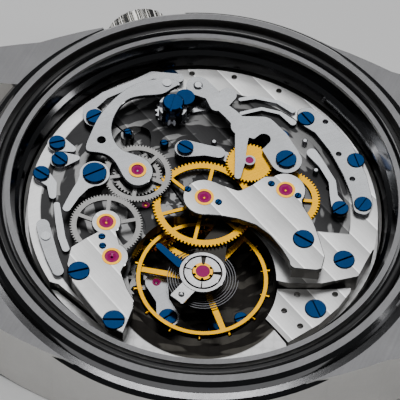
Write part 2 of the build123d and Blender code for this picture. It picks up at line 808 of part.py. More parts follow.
def make_train_bridge():
    face = movement_disc() & outline(spread(train_bridge_shares))
    body = raised(face, plate_top, bridge_top)
    body = body - balance_window(plate_top - overrun, bridge_top + overrun)
    body = body - train_room()
    body = body - disc(arbor_r * 1.6, plate_top, bridge_top + overrun, fourth_at)
    for place in (third_at, escape_at):
        body = body - disc(small_jewel_r, bridge_top - jewel_t, bridge_top + overrun, place)
        body = body - disc(arbor_r * 1.3, plate_top, bridge_top + overrun, place)
    recess = driving_recess_depth
    body = body - disc(driving_pitch * 1.12, bridge_top - recess, bridge_top + overrun, fourth_at)
    body = body - post_bores() - lever_pocket()
    return body


driving_recess_depth = 0.12


def make_upper_train_bridge():
    """The striped bridge over the driving wheel, with its round boss and its jewel lobe."""
    face = outline(spread(upper_train_shares))
    boss_r = jewel_r + chaton_w + boss_w
    lobe_r = boss_r + lobe_more_w
    face = face + Pos(*fourth_at) * Circle(boss_r) + Pos(*escape_at) * Circle(lobe_r)
    face = face & movement_disc()
    body = raised(face, bridge_top, cock_top)
    body = body - disc(driving_pitch * 1.09, bridge_top - overrun, cock_low, fourth_at)
    body = broken_edge(body, bridge_bevel)
    body = body - balance_window(bridge_top - overrun, cock_top + overrun, -side_gap * 2)
    body = body - jewel_bore(fourth_at, cock_top) - jewel_bore(escape_at, cock_top)
    body = body - screw_bores(large_screw_shares["train_upper"], train_upper_seat, large_head_r)
    return body - screw_bores(cock_screw_shares, cock_top - flush_depth, tiny_head_r, shank_l / 6)


cock_screw_shares = [(-0.542, -0.303), (-0.532, -0.363)]
boss_w = 0.42
lobe_more_w = 0.14
bridge_bevel = 0.06


def make_lower_bridge():
    face = outline(spread(lower_bridge_shares)) & movement_disc()
    body = raised(face, plate_top, lower_bridge_top)
    body = body - balance_window(plate_top - overrun, bridge_top + overrun, window_ledge)
    body = body - screw_bores(large_screw_shares["lower_bridge"], lower_bridge_seat, large_head_r)
    for share in lower_hole_shares:
        body = body - disc(hole_r, lower_bridge_top - bridge_t / 2, bridge_top, at(share))
    return body


lower_hole_shares = [(0.552, -0.485), (0.760, -0.463), (0.485, -0.595), (0.576, -0.683)]


def make_chronograph_bridge():
    """The large striped bridge from the middle jewel over the recorder to its foot."""
    face = outline(spread(chrono_bridge_shares), corner_r)
    middle_r = jewel_r + chaton_w + middle_boss_w
    recorder_lobe_r = jewel_r + chaton_w + recorder_boss_w
    face = face + Circle(middle_r) + Pos(*recorder_at) * Circle(recorder_lobe_r)
    body = raised(face, chrono_bridge_low, chrono_bridge_top)
    body = broken_edge(body, bridge_bevel)
    foot = outline(spread(chrono_foot_shares))
    body = body + raised(foot, bridge_top - overrun, chrono_bridge_low)
    body = body - balance_window(plate_top, chrono_wheel_z, window_ledge)
    body = body - disc(tip_radius(recorder_teeth, recorder_pitch) + wheel_gap, bridge_top - overrun,
                       recorder_wheel_z + 3 * wheel_t, recorder_at)
    body = body - jewel_bore(centre_at, chrono_bridge_top) - jewel_bore(recorder_at, chrono_bridge_top)
    body = body - screw_bores(large_screw_shares["chrono_bridge"], chrono_bridge_seat, large_head_r)
    return body - screw_bores(tiny_screw_shares, tiny_seat, tiny_head_r, shank_l / 3)


middle_boss_w = 1.0
recorder_boss_w = 0.9


def make_recorder_plate():
    """The curved plate along the rim that holds the recorder's jumper and springs."""
    face = outline(spread(recorder_plate_shares), corner_r) & movement_disc()
    body = raised(face, bridge_top, recorder_plate_top)
    body = broken_edge(body, lever_bevel)
    body = body - screw_bores(recorder_screw_shares, recorder_seat, medium_head_r)
    for share in plate_hole_shares:
        body = body - disc(hole_r, bridge_top + lever_t / 3, bridge_top + overrun, at(share))
    return body


lever_bevel = 0.05
plate_hole_shares = [(0.663, 0.647), (0.746, 0.425), (0.828, 0.259)]


def make_pallet_bridge():
    face = lever_face(strokes_at(pallet_bridge_shares))
    body = raised(face, pallet_bridge_top - pallet_bridge_t, pallet_bridge_top)
    body = body + disc(pallet_foot_r, plate_top * 0.7, pallet_bridge_top, at(under_screw_share))
    body = body - disc(small_jewel_r, plate_top, bridge_top, pallet_at)
    return body - screw_bores([under_screw_share], under_seat, medium_head_r, 2 * shank_l / 3)


pallet_foot_r = 0.8
pallet_bridge_shares = [(*pallet_share, 0.0613), (-0.18, -0.58, 0.0355), (*under_screw_share[:2], 0.0613)]
cap_jewel_r = small_jewel_r + 0.12
cock_root_share = (0.16, -0.03)
cock_knee_share = (0.10, -0.18)
cock_arm_r = 0.75
cock_foot_r = 0.7


def make_balance_cock():
    """The dark cock: a round seat for the regulator and an arm under the chronograph wheel."""
    top = cock_arm_low + cock_arm_t
    root = at(cock_root_share)
    knee = at(cock_knee_share)
    face = lever_face([(*balance_at, regulator_r * 0.86), (*knee, cock_arm_r), (*root, cock_arm_r)])
    body = raised(face, cock_arm_low, top)
    body = body - disc(cap_jewel_r, plate_top, bridge_top + overrun, balance_at)
    foot = disc(cock_foot_r, bridge_top, top, root)
    body = body - balance_window(plate_top, cock_arm_low, 0)
    low_part = disc(2 * regulator_r, cock_arm_low - overrun, bridge_top, root)
    return body - (low_part - balance_window(plate_top, bridge_top + overrun, -side_gap)) + foot


# Fasteners, jewels and small fixed parts

coupling_pivot = at((-0.27, 0.79))
operating_pivot = at((-0.665, 0.531))
reset_pivot = at((-0.131, 0.352))
brake_pivot = at((-0.853, -0.294))
collar_at = at((-0.624, 0.117))
intermediate_screw_at = at((0.444, 0.315))
intermediate_small_at = at((0.416, 0.514))
post_r = 0.3
left_screw_shares = [(-0.860, 0.340, 20), (-0.833, 0.228, -35), (-0.925, 0.120, -30)]
left_plate_top = bridge_top + 0.35
jumper_top = bridge_top + 0.5
post_floor = bridge_top - bridge_t / 2
thin_post_r = 0.2
coupling_low = cock_low
coupling_top = cock_top + 0.04


def post_bores():
    """The holes that the levers' posts are pressed into."""
    cut = None
    for place in (coupling_pivot, operating_pivot, reset_pivot, brake_pivot, collar_at,
                  intermediate_small_at, column_at):
        hole = disc(post_r, post_floor, bridge_top + overrun, place)
        cut = hole if cut is None else cut + hole
    cut = cut + disc(thin_post_r, post_floor, bridge_top + overrun, intermediate_screw_at)
    for share in blue_pin_shares:
        cut = cut + disc(pin_head_r * shank_share, post_floor, bridge_top + overrun, at(share))
    for share in left_screw_shares + recorder_screw_shares + jumper_screw_shares:
        head_r = medium_head_r * shank_share + screw_gap
        cut = cut + disc(head_r, post_floor, bridge_top + overrun, at(share))
    for share in bridge_hole_shares:
        cut = cut + disc(hole_r, bridge_top - bridge_t / 2, bridge_top + overrun, at(share))
    return cut


jumper_screw_shares = [(0.764, 0.044, 40)]
bridge_hole_shares = [(-0.131, 0.94), (0.118, 0.94), (0.385, 0.865), (0.62, 0.02), (0.70, 0.20)]


def make_large_screws():
    seats = {"train_upper": train_upper_seat, "chrono_bridge": chrono_bridge_seat,
             "barrel_bridge": barrel_bridge_seat, "lower_bridge": lower_bridge_seat}
    group = []
    for name, entries in large_screw_shares.items():
        for x, y, turn in entries:
            group.append(screw(at((x, y)), seats[name], large_head_r, turn))
    return Compound(children=group)


def lever_post(place, low, seat, height, head_r, turn, foot_r=post_r):
    """A shouldered screw: pressed foot, pivot for a lever and slotted head."""
    body = disc(foot_r, post_floor, low, place)
    body = body + disc(foot_r, low, seat, place)
    head = disc(head_r, seat, seat + height, place)
    head = chamfer(head.edges().sort_by(Axis.Z)[-1], height / 5)
    slot = Box(4 * head_r, slot_w, slot_depth, align=(Align.CENTER, Align.CENTER, Align.MAX))
    return body + head - Pos(place[0], place[1], seat + height) * Rot(0, 0, turn) * slot


operating_low = bridge_top + 0.3
reset_low = bridge_top + 0.3
reset_top = bridge_top + 0.95
hook_post_at = at((-0.089, 0.790))
hook_post_r = 0.42
brake_low = bridge_top + 0.06
column_low = bridge_top + 0.06
column_h = 1.15
column_r = 1.5


def make_lever_screws():
    """The blued screws that the levers turn on or are held by."""
    tall = lever_post(column_at, column_low, column_low + column_h + side_gap, tall_head_h,
                      large_head_r * 1.06, 80)
    eccentric_low = column_low + column_h + 2 * side_gap
    tall = tall + (disc(eccentric_r, eccentric_low, eccentric_low + wheel_t, at(eccentric_share))
                   - disc(large_head_r, eccentric_low, eccentric_low + wheel_t, column_at))
    collar_top = cock_top - flush_depth
    group = [
        tall,
        lever_post(operating_pivot, operating_low, operating_low + lever_t + side_gap, head_h, medium_head_r, 35),
        lever_post(reset_pivot, reset_low, reset_top + side_gap / 2, head_h, medium_head_r * 0.95, -28),
        lever_post(collar_at, bridge_top, collar_top, head_h, large_head_r * 1.15, 32),
        lever_post(intermediate_screw_at, cock_low, cock_top, head_h, large_head_r, 42, thin_post_r),
        lever_post(intermediate_small_at, small_post_low, small_post_seat, head_h, medium_head_r * 0.8, -55),
    ]
    for share in blue_pin_shares:
        group.append(screw(at(share), bridge_top, pin_head_r, 20, bridge_t / 2, pin_head_h))
    return Compound(children=group)


def riveted_post(place, low, high):
    """A steel post with a low riveted head over its lever."""
    body = disc(post_r, post_floor, high + side_gap / 2, place)
    return body + disc(post_r * 1.4, high + side_gap / 2, high + side_gap / 2 + rivet_h, place)


eccentric_share = (-0.157, 0.693)
blue_pin_shares = [(-0.253, 0.403), (-0.468, 0.459)]
tall_head_h = 0.6
eccentric_r = 0.85
small_post_low = bridge_top + 0.2
small_post_seat = bridge_top + 0.4
pin_head_r = 0.4
pin_head_h = 0.5
rivet_h = 0.07


def make_small_screws():
    group = []
    for share in tiny_screw_shares:
        group.append(screw(at(share), tiny_seat, tiny_head_r, 60, shank_l / 3 - screw_gap))
    for share in cock_screw_shares:
        group.append(screw(at(share), cock_top - flush_depth, tiny_head_r, 10, shank_l / 6))
    for x, y, turn in recorder_screw_shares:
        group.append(screw(at((x, y)), recorder_seat, medium_head_r, turn, recorder_seat - post_floor))
    for x, y, turn in left_screw_shares:
        group.append(screw(at((x, y)), left_plate_top, medium_head_r * 0.95, turn, left_plate_top - post_floor))
    for x, y, turn in jumper_screw_shares:
        group.append(screw(at((x, y)), jumper_top, medium_head_r * 0.95, turn, jumper_top - post_floor))
    x, y, turn = rim_screw_share
    group.append(screw(at((x, y)), barrel_bridge_seat, medium_head_r, turn))
    for x, y, turn in floor_screw_shares:
        group.append(screw(at((x, y)), balance_floor, floor_screw_r, turn, shank_l / 2))
    x, y, turn = under_screw_share
    group.append(screw(at((x, y)), under_seat, medium_head_r, turn, 2 * shank_l / 3 - screw_gap))
    return Compound(children=group)


def make_chatons():
    """Gold rings that hold the upper jewels."""
    group = []
    for place, top in ((centre_at, chrono_bridge_top), (recorder_at, chrono_bridge_top),
                       (fourth_at, cock_top), (escape_at, cock_top)):
        low = top - jewel_t - chaton_floor
        group.append(ring(jewel_r + chaton_w, jewel_r, low, top + chaton_floor / 2, place))
    group.append(make_shock_spring())
    return Compound(children=group)


def make_jewels():
    """Rubies in the bridges, the plate and the cock."""
    group = []
    for place, top in ((centre_at, chrono_bridge_top), (recorder_at, chrono_bridge_top),
                       (fourth_at, cock_top), (escape_at, cock_top)):
        low = top - jewel_t - chaton_floor
        group.append(jewel(place, low, top - chaton_floor / 2, jewel_r))
    for place in (third_at, escape_at):
        group.append(jewel(place, bridge_top - jewel_t, bridge_top - side_gap, small_jewel_r))
    for place in (third_at, fourth_at, escape_at, pallet_at, balance_at):
        group.append(jewel(place, plate_top * 0.45, plate_top * 0.45 + jewel_t, small_jewel_r))
    group.append(jewel(recorder_at, bridge_low, bridge_low + jewel_t, small_jewel_r))
    group.append(disc(small_jewel_r, cock_top - jewel_t, cock_top - side_gap, intermediate_at))
    group.append(jewel(pallet_at, pallet_bridge_top - pallet_bridge_t, pallet_bridge_top, small_jewel_r))
    low = cock_arm_low + side_gap
    group.append(jewel(balance_at, low, low + jewel_t, cap_jewel_r))
    shock_low = regulator_low + regulator_t - side_gap
    group.append(disc(small_jewel_r * 1.6, shock_low, shock_low + shock_t, balance_at))
    return Compound(children=group)


regulator_low = cock_arm_low + cock_arm_t + side_gap / 2


def make_shock_spring():
    """The six-lobed gold spring round the balance's cap jewel."""
    low = regulator_low + regulator_t - side_gap
    face = Circle(shock_r) - Circle(small_jewel_r * 1.6 + side_gap / 2)
    lobe = Pos(shock_r * 0.92, 0) * Circle(shock_r * 0.15)
    for i in range(6):
        face = face - Rot(0, 0, 30 + i * 60) * lobe
    return Pos(balance_at[0], balance_at[1], 0) * raised(face, low, low + shock_t)


finger_turn = 235
finger_reach = 3.55
finger_w = 1.4
curb_pin_r = 0.2
curb_pin_reach = 2.85


def make_regulator():
    """The regulator: a flat ring round the shock setting and the finger with its pin."""
    ring_face = Circle(regulator_r) - Circle(shock_r + side_gap)
    finger = Rectangle(finger_reach, finger_w, align=(Align.MIN, Align.CENTER))
    face = ring_face + (Rot(0, 0, finger_turn) * finger - Circle(regulator_r * 0.7))
    body = raised(face, regulator_low, regulator_low + regulator_t)
    groove = ring(regulator_r * 0.8, regulator_r * 0.75, regulator_low + regulator_t * 0.6,
                  regulator_low + regulator_t + overrun)
    step = ring(regulator_r + overrun, regulator_r * 0.93, regulator_low + regulator_t * 0.75,
                regulator_low + regulator_t + overrun)
    clear = disc(regulator_r * 1.02, regulator_low - overrun, regulator_low + overrun)
    body = body - groove - (step & clear)
    pin = disc(curb_pin_r, regulator_low, regulator_low + regulator_t + curb_pin_r / 2)
    body = body + Rot(0, 0, finger_turn) * Pos(curb_pin_reach, 0, 0) * pin
    return Pos(balance_at[0], balance_at[1], 0) * body


# Balance, hairspring and escapement

def make_balance_wheel():
    face = Circle(balance_r) - Circle(balance_r - rim_w)
    rim = raised(face, rim_top - rim_h, rim_top)
    arm_low = rim_top - rim_h * 0.75
    hub_r = 0.75
    arms = Circle(hub_r)
    reach = balance_r - rim_w / 2
    for i in range(balance_arms):
        bar = link((0, 0, arm_w / 2), (reach - arm_w, 0, arm_w / 2 * 0.8))
        bar = bar + Pos(reach / 2, 0) * Rectangle(reach, arm_w * 0.8)
        arms = arms + Rot(0, 0, arm_turn + i * 360 / balance_arms) * bar
    body = rim + raised(arms & Circle(balance_r - rim_w / 2), arm_low, arm_low + arm_t)
    body = body - disc(staff_r, arm_low - overrun, rim_top + overrun)
    return Pos(balance_at[0], balance_at[1], 0) * body


staff_r = 0.3


def make_timing_screws():
    """Gold screws standing out of the rim and, shorter, inside it."""
    group = []
    middle = rim_top - rim_h / 2
    for i in range(timing_screws):
        turn = arm_turn + 12 + i * 360 / timing_screws
        head = disc(timing_head_r, balance_r, balance_r + timing_head_l)
        piece = Rot(0, 0, turn) * Pos(0, 0, middle) * Rot(0, 90, 0) * head
        group.append(Pos(balance_at[0], balance_at[1], 0) * piece)
        tail_in = balance_r - rim_w - timing_head_l / 2
        tail = disc(timing_head_r / 2, tail_in, balance_r - rim_w)
        piece = Rot(0, 0, turn) * Pos(0, 0, middle) * Rot(0, 90, 0) * tail
        group.append(Pos(balance_at[0], balance_at[1], 0) * piece)
    return Compound(children=group)


def make_balance_staff():
    low = plate_top * 0.45 + jewel_t / 2
    high = cock_arm_low + side_gap + jewel_t / 2
    body = disc(pivot_r, low, high, balance_at)
    body = body + disc(staff_r, plate_top * 0.45 + jewel_t + side_gap, cock_arm_low - side_gap, balance_at)
    roller_low = level_a + 2 * train_wheel_t + side_gap
    body = body + disc(roller_r, roller_low, roller_low + train_wheel_t, balance_at)
    collet_r = spring_inner_r - spring_wire_r - 2 * side_gap
    body = body + disc(collet_r, spring_z - 2 * spring_wire_r, spring_z + 2 * spring_wire_r, balance_at)
    fork_line = heading(balance_at, pallet_at)
    pin_place = polar(roller_r * 0.8, fork_line, balance_at)
    return body + disc(impulse_pin_r, level_a, roller_low, pin_place)


impulse_pin_r = 0.08


def hairspring_points():
    """Where the spring's half turns join, along one line, and the radius of each."""
    position = -spring_inner_r
    side = 1
    joints = []
    for i in range(spring_half_turns):
        radius = spring_inner_r + i * spring_pitch / 2
        joints.append((position, side, radius))
        position = position + side * 2 * radius
        side = -side
    return joints, position, side


def make_hairspring():
    """One unbroken wire, wound in half turns of slowly growing radius."""
    joints, last, side = hairspring_points()
    tail = 2 * spring_wire_r
    edges = [Line((-spring_inner_r, -tail), (-spring_inner_r, 0))]
    for position, turn, radius in joints:
        middle = (position + turn * radius, turn * radius)
        edges.append(ThreePointArc((position, 0), middle, (position + turn * 2 * radius, 0)))
    edges.append(Line((last, 0), (last, side * tail)))
    path = Wire(edges)
    section = Plane(origin=path @ 0, z_dir=path % 0) * Circle(spring_wire_r)
    body = sweep(section, path=path)
    samples = int(path.length / spring_wire_r)
    points = [path @ (k / samples) for k in range(samples + 1)]
    gap = least_gap(points, int(pi * spring_inner_r / spring_wire_r)) - 2 * spring_wire_r
    print("hairspring: least gap to itself", round(gap, 3), "mm")
    return Pos(balance_at[0], balance_at[1], spring_z) * Rot(0, 0, spring_turn) * body


def least_gap(points, skip):
    """The least distance between points that lie at least half a turn apart."""
    return min((points[i] - points[j]).length
               for i in range(len(points)) for j in range(i + skip, len(points), 2))


def stud_pin_at():
    joints, last, side = hairspring_points()
    reach = side * (2 * spring_wire_r + stud_pin_r)
    x = last * cos(radians(spring_turn)) - reach * sin(radians(spring_turn))
    y = last * sin(radians(spring_turn)) + reach * cos(radians(spring_turn))
    return (balance_at[0] + x, balance_at[1] + y)


spring_turn = 157.0
stud_pin_r = 0.16
stud_shares = [(-0.225, -0.29, 0.018), (-0.105, -0.395, 0.022)]
stud_t = 0.28


def make_hairspring_stud():
    """The blued stud bar beside the cock, and the pin that holds the spring's outer end."""
    low = cock_arm_low + side_gap
    body = lever(strokes_at(stud_shares), low, low + stud_t)
    body = body + disc(stud_pin_r, spring_z - 2 * spring_wire_r, low + spring_wire_r, stud_pin_at())
    return body - disc(regulator_r * 0.86 + side_gap / 2, low - overrun, low + overrun, balance_at)


escape_hub_r = 0.6


def make_escape_wheel():
    """Fifteen pointed teeth on a light rim."""
    points = []
    step = 360 / escape_teeth
    for i in range(escape_teeth):
        points += [polar(escape_r * 0.8, i * step), polar(escape_r * 0.99, i * step + 0.36 * step)]
        points += [polar(escape_r, i * step + 0.44 * step), polar(escape_r * 0.8, i * step + 0.55 * step)]
    face = make_face(Polyline(*points, close=True)) - Circle(escape_r * 0.66) + Circle(escape_hub_r)
    for i in range(4):
        bar = Pos(escape_r * 0.36, 0) * Rectangle(escape_r * 0.72, spoke_w)
        face = face + Rot(0, 0, i * 90) * bar
    body = wheel(face, level_a, escape_at, train_wheel_t)
    phase = mesh_phase(fourth_teeth, 0, escape_pinion_teeth, fourth_at, escape_at)
    body = body + pinion(escape_pinion_teeth, escape_pinion_pitch, level_a, level_c + train_wheel_t + side_gap,
                         escape_at, phase)
    low = plate_top * 0.45 + jewel_t / 2
    high = bridge_top - jewel_t / 2 - side_gap
    return body + arbor(escape_at, low, high, plate_top * 0.45 + jewel_t + side_gap,
                        bridge_top - jewel_t - side_gap, arbor_r * 0.8)


pallet_hub_r = 0.35
pallet_end_r = 0.16
fork_slot_l = 0.8
fork_slot_w = 0.24
pallet_edge_t = 0.03
pallet_arbor_r = 0.2


def make_pallet_fork():
    """Fork, anchor arms and staff of the lever escapement."""
    fork_line = heading(pallet_at, balance_at)
    back_line = heading(pallet_at, escape_at)
    reach = distance(pallet_at, balance_at) - roller_r * 0.8
    tip = polar(reach, fork_line, pallet_at)
    half = 24.0
    arm = distance(pallet_at, escape_at) - escape_r * 0.86
    stops = [(*pallet_at, 0.4), (*tip, 0.2)]
    face = lever_face(stops)
    for side in (1, -1):
        end = polar(arm, back_line + side * half, pallet_at)
        face = face + link((*pallet_at, pallet_hub_r), (*end, pallet_end_r))
    slot = Rot(0, 0, fork_line) * Rectangle(fork_slot_l, fork_slot_w)
    slot = Pos(*polar(reach + fork_slot_l / 4, fork_line, pallet_at)) * slot
    face = face - slot - Pos(*escape_at) * Circle(escape_r + 2 * side_gap)
    body = raised(face, level_a - pallet_edge_t, level_a + train_wheel_t)
    low = plate_top * 0.45 + jewel_t / 2
    return body + arbor(pallet_at, low, pallet_bridge_top - jewel_t / 2,
                        plate_top * 0.45 + jewel_t + side_gap,
                        pallet_bridge_top - pallet_bridge_t - side_gap, pallet_arbor_r)


# Going train and barrel

def make_barrel_drum():
    face = tooth_outline(barrel_teeth, barrel_pitch, phase=0)
    body = wheel(face, barrel_low, barrel_at, 2 * train_wheel_t)
    drum_r = root_radius(barrel_teeth, barrel_pitch) - side_gap
    body = body + disc(drum_r, barrel_low, barrel_top, barrel_at)
    body = body - disc(drum_r - barrel_wall, barrel_low + barrel_wall, barrel_top - barrel_wall, barrel_at)
    return body - disc(barrel_arbor_r + pivot_gap, barrel_low - overrun, barrel_top + overrun, barrel_at)


barrel_arbor_r = 0.55


def make_mainspring():
    """The coiled mainspring inside its drum, as one closed ring of its wound size."""
    drum_r = root_radius(barrel_teeth, barrel_pitch) - side_gap - barrel_wall
    low = barrel_low + barrel_wall + side_gap
    high = barrel_top - barrel_wall - side_gap
    return ring(drum_r - side_gap, drum_r * 0.62, low, high, barrel_at)


def make_ratchet_wheel():
    """The ratchet wheel and the barrel arbor that it turns."""
    face = tooth_outline(ratchet_teeth, ratchet_pitch, phase=ratchet_phase())
    body = wheel(face, winding_low, barrel_at, winding_t)
    body = body + disc(barrel_arbor_r, barrel_low + side_gap, winding_low, barrel_at)
    body = body + disc(drum_core_r, barrel_low + barrel_wall + side_gap,
                       barrel_top - barrel_wall - side_gap, barrel_at)
    body = body + disc(pin_r, barrel_low - side_gap * 4, winding_low, barrel_at)
    return body + disc(pin_r, winding_low, bridge_top - bridge_t / 3, barrel_at)


drum_core_r = 1.6


def ratchet_phase():
    return mesh_phase(crown_wheel_teeth, stem_angle, ratchet_teeth, crown_wheel_at, barrel_at)


def make_crown_wheel():
    face = tooth_outline(crown_wheel_teeth, crown_wheel_pitch, phase=stem_angle) - Circle(core_r + pivot_gap)
    return wheel(face, winding_low, crown_wheel_at, winding_t)


def make_crown_wheel_core():
    """The fixed core that the crown wheel turns on."""
    body = disc(core_r, winding_low - side_gap, bridge_top - bridge_t / 4, crown_wheel_at)
    flange = disc(2 * core_r, winding_low - side_gap - train_wheel_t, winding_low - side_gap, crown_wheel_at)
    return body + flange


def make_click():
    """The click that holds the ratchet wheel, on its own post."""
    stops = [(*click_at(), 0.5), (*click_tip(), 0.2)]
    body = lever(stops, winding_low, winding_low + winding_t)
    return body - disc(pin_r + pivot_gap, winding_low - overrun, winding_low + overrun, click_at())


click_end_r = 0.26


def click_at():
    return polar(ratchet_pitch * 1.2, 75, barrel_at)


def click_tip():
    return polar(tip_radius(ratchet_teeth, ratchet_pitch) + click_end_r, 55, barrel_at)


def click_room():
    face = lever_face([(*click_at(), 0.75), (*click_tip(), 0.5)])
    return raised(face, plate_top - overrun, winding_low + winding_t + side_gap)


train_rim_w = 0.4
train_hub_r = 0.7
centre_hub_r = 1.1


def make_centre_wheel():
    """The centre wheel on its hollow arbor, with the cannon pinion's friction seat."""
    face = spoked_face(centre_teeth, centre_pitch, 0, 5, train_rim_w, centre_hub_r)
    body = wheel(face, level_a, centre_at, train_wheel_t)
    body = body + disc(hollow_arbor_r, cannon_low, bridge_top - side_gap)
    low = barrel_low - side_gap
    phase = mesh_phase(barrel_teeth, 0, centre_pinion_teeth, barrel_at, centre_at)
    body = body + pinion(centre_pinion_teeth, centre_pinion_pitch, low, barrel_low + 3 * train_wheel_t,
                         centre_at, phase)
    return body - disc(chrono_arbor_r + pivot_gap, cannon_low - overrun, bridge_top + overrun)



def centre_pinion_room():
    return disc(tip_radius(centre_pinion_teeth, centre_pinion_pitch) + wheel_gap, barrel_low - 2 * side_gap,
                plate_top + overrun)


def make_third_wheel():
    body = wheel(spoked_face(third_teeth, third_pitch, 0, 5, train_rim_w, train_hub_r), level_b, third_at, train_wheel_t)
    phase = mesh_phase(centre_teeth, 0, third_pinion_teeth, centre_at, third_at)
    body = body + pinion(third_pinion_teeth, third_pinion_pitch, level_a - side_gap, level_b, third_at, phase)
    low = plate_top * 0.45 + jewel_t / 2
    return body + arbor(third_at, low, bridge_top - jewel_t / 2 - side_gap,
                        plate_top * 0.45 + jewel_t + side_gap, bridge_top - jewel_t - side_gap)


def make_fourth_wheel():
    face = spoked_face(fourth_teeth, fourth_pitch, 0, 5, train_rim_w, train_hub_r)
    body = wheel(face, level_c, fourth_at, train_wheel_t)
    phase = mesh_phase(third_teeth, 0, fourth_pinion_teeth, third_at, fourth_at)
    body = body + pinion(fourth_pinion_teeth, fourth_pinion_pitch, level_b - side_gap, level_c, fourth_at, phase)
    low = plate_top * 0.45 + jewel_t / 2
    return body + arbor(fourth_at, low, cock_top - jewel_t / 2,
                        plate_top * 0.45 + jewel_t + side_gap, clutch_wheel_z)


# Motion work, on the dial side

def make_cannon_pinion():
    body = disc(cannon_r, minute_seat_top, dial_works_t)
    phase = 0.0
    body = body + pinion(cannon_teeth, cannon_pitch, 0, dial_works_t, centre_at, phase)
    body = body - disc(hollow_arbor_r, cannon_low, dial_works_t + overrun)
    body = body + disc(minute_seat_r, hand_seat_z + cannon_tip, cannon_low)
    return body - disc(chrono_arbor_r + pivot_gap, hand_seat_z, dial_works_t)


def make_minute_wheel():
    phase = mesh_phase(cannon_teeth, 0, minute_wheel_teeth, centre_at, minute_wheel_at)
    face = tooth_outline(minute_wheel_teeth, minute_wheel_pitch, phase=phase)
    body = wheel(face, 0, minute_wheel_at, dial_works_t)
    body = body + pinion(minute_pinion_teeth, minute_pinion_pitch, -hour_wheel_t - side_gap, 0, minute_wheel_at)
    return body - disc(pin_r + pivot_gap, -overrun, overrun, minute_wheel_at)


hour_wheel_t = 0.22


def make_hour_wheel():
    phase = mesh_phase(minute_pinion_teeth, 0, hour_wheel_teeth, minute_wheel_at, centre_at)
    face = tooth_outline(hour_wheel_teeth, hour_pitch, phase=phase)
    body = wheel(face, -hour_wheel_t - side_gap, centre_at, hour_wheel_t)
    body = body + disc(hour_pipe_r, hour_seat_z, -side_gap)
    return body - disc(cannon_r + pivot_gap, hand_seat_z - overrun, overrun)


# Chronograph wheels

upper_rim_w = 0.42
upper_hub_r = 0.75
lower_rim_w = 0.3
lower_hub_r = 0.6
gold_rim_w = 0.5
gold_hub_r = 0.8
gold_spoke_w = 0.3
layer_hub_r = 0.5


def make_driving_wheel():
    face = spoked_face(driving_teeth, driving_pitch, 0, 5, upper_rim_w, upper_hub_r, 18)
    body = wheel(face, clutch_wheel_z, fourth_at)
    return body - disc(pivot_r, clutch_wheel_z - overrun, clutch_wheel_z + overrun, fourth_at)


def make_coupling_wheel():
    """Two layers: the driving wheel turns the upper one, the lower one turns the runner."""
    phase = mesh_phase(driving_teeth, 0, coupling_teeth, fourth_at, coupling_at)
    body = wheel(spoked_face(coupling_teeth, coupling_pitch, phase, 5, upper_rim_w, upper_hub_r, 52),
                 clutch_wheel_z, coupling_at)
    lower = spoked_face(coupling_lower_teeth, coupling_lower_pitch, lower_phase, 4, lower_rim_w, lower_hub_r, 7)
    body = body + wheel(lower, chrono_wheel_z, coupling_at)
    body = body + disc(layer_hub_r, chrono_wheel_z, clutch_wheel_z + wheel_t, coupling_at)
    return body + disc(pivot_r, chrono_wheel_z, coupling_top - jewel_t / 2, coupling_at)


lower_phase = 0.0


def make_chronograph_wheel():
    """The gold runner wheel, its heart cam, finger and long arbor."""
    phase = mesh_phase(coupling_lower_teeth, lower_phase, chrono_teeth, coupling_at, centre_at)
    face = spoked_face(chrono_teeth, chrono_pitch, phase, 6, gold_rim_w, gold_hub_r, 22, gold_spoke_w)
    body = wheel(face, chrono_wheel_z, centre_at)
    body = body + disc(chrono_arbor_r, hand_seat_z, clutch_wheel_z + wheel_t)
    body = body + disc(pivot_r, clutch_wheel_z, chrono_bridge_top - jewel_t / 2)
    heart = link(*chrono_heart)
    return body + raised(heart, bridge_top + side_gap, chrono_wheel_z)


chrono_heart = ((0, 0, 0.7), (-0.5, 0.35, 0.3))
recorder_heart = ((0, 0, 0.6), (0.45, 0.3, 0.26))


def make_intermediate_wheel():
    """The wheel that steps the minute recorder; its lower layer meshes with the recorder."""
    pitch = intermediate_r
    body = wheel(tooth_outline(intermediate_teeth, pitch), clutch_wheel_z, intermediate_at)
    body = body + pinion(intermediate_lower_teeth, intermediate_lower_pitch, recorder_wheel_z,
                         recorder_wheel_z + wheel_t, intermediate_at, 0)
    body = body + disc(layer_hub_r, recorder_wheel_z, clutch_wheel_z, intermediate_at)
    return body - disc(stud_r + pivot_gap, bridge_top, cock_top, intermediate_at)


stud_r = 0.2


def make_recorder_wheel():
    """The gold minute recorder wheel with its arbor and heart cam."""
    phase = mesh_phase(intermediate_lower_teeth, 0, recorder_teeth, intermediate_at, recorder_at)
    face = spoked_face(recorder_teeth, recorder_pitch, phase, 5, gold_rim_w, gold_hub_r, 0, gold_spoke_w)
    body = wheel(face, recorder_wheel_z, recorder_at)
    heart = Pos(*recorder_at) * link(*recorder_heart)
    body = body + raised(heart, recorder_wheel_z, recorder_wheel_z + 3 * wheel_t)
    return body + arbor(recorder_at, bridge_low + jewel_t / 2, chrono_bridge_top - jewel_t / 2,
                        bridge_low + jewel_t + side_gap, chrono_bridge_low - side_gap)


# Levers, hammers and springs

coupling_lever_shares = [(-0.492, 0.731), (-0.586, 0.612), (-0.648, 0.483), (-0.681, 0.358),
                         (-0.682, 0.262), (-0.620, 0.255), (-0.549, 0.232), (-0.498, 0.168), (-0.451, 0.090),
                         (-0.403, 0.054), (-0.347, 0.059), (-0.306, 0.105), (-0.300, 0.167), (-0.333, 0.226),
                         (-0.399, 0.261), (-0.481, 0.288), (-0.539, 0.359), (-0.559, 0.456), (-0.540, 0.551),
                         (-0.485, 0.644), (-0.410, 0.680), (-0.334, 0.695), (-0.274, 0.716), (-0.235, 0.754),
                         (-0.195, 0.795), (-0.240, 0.822), (-0.315, 0.818), (-0.395, 0.792)]

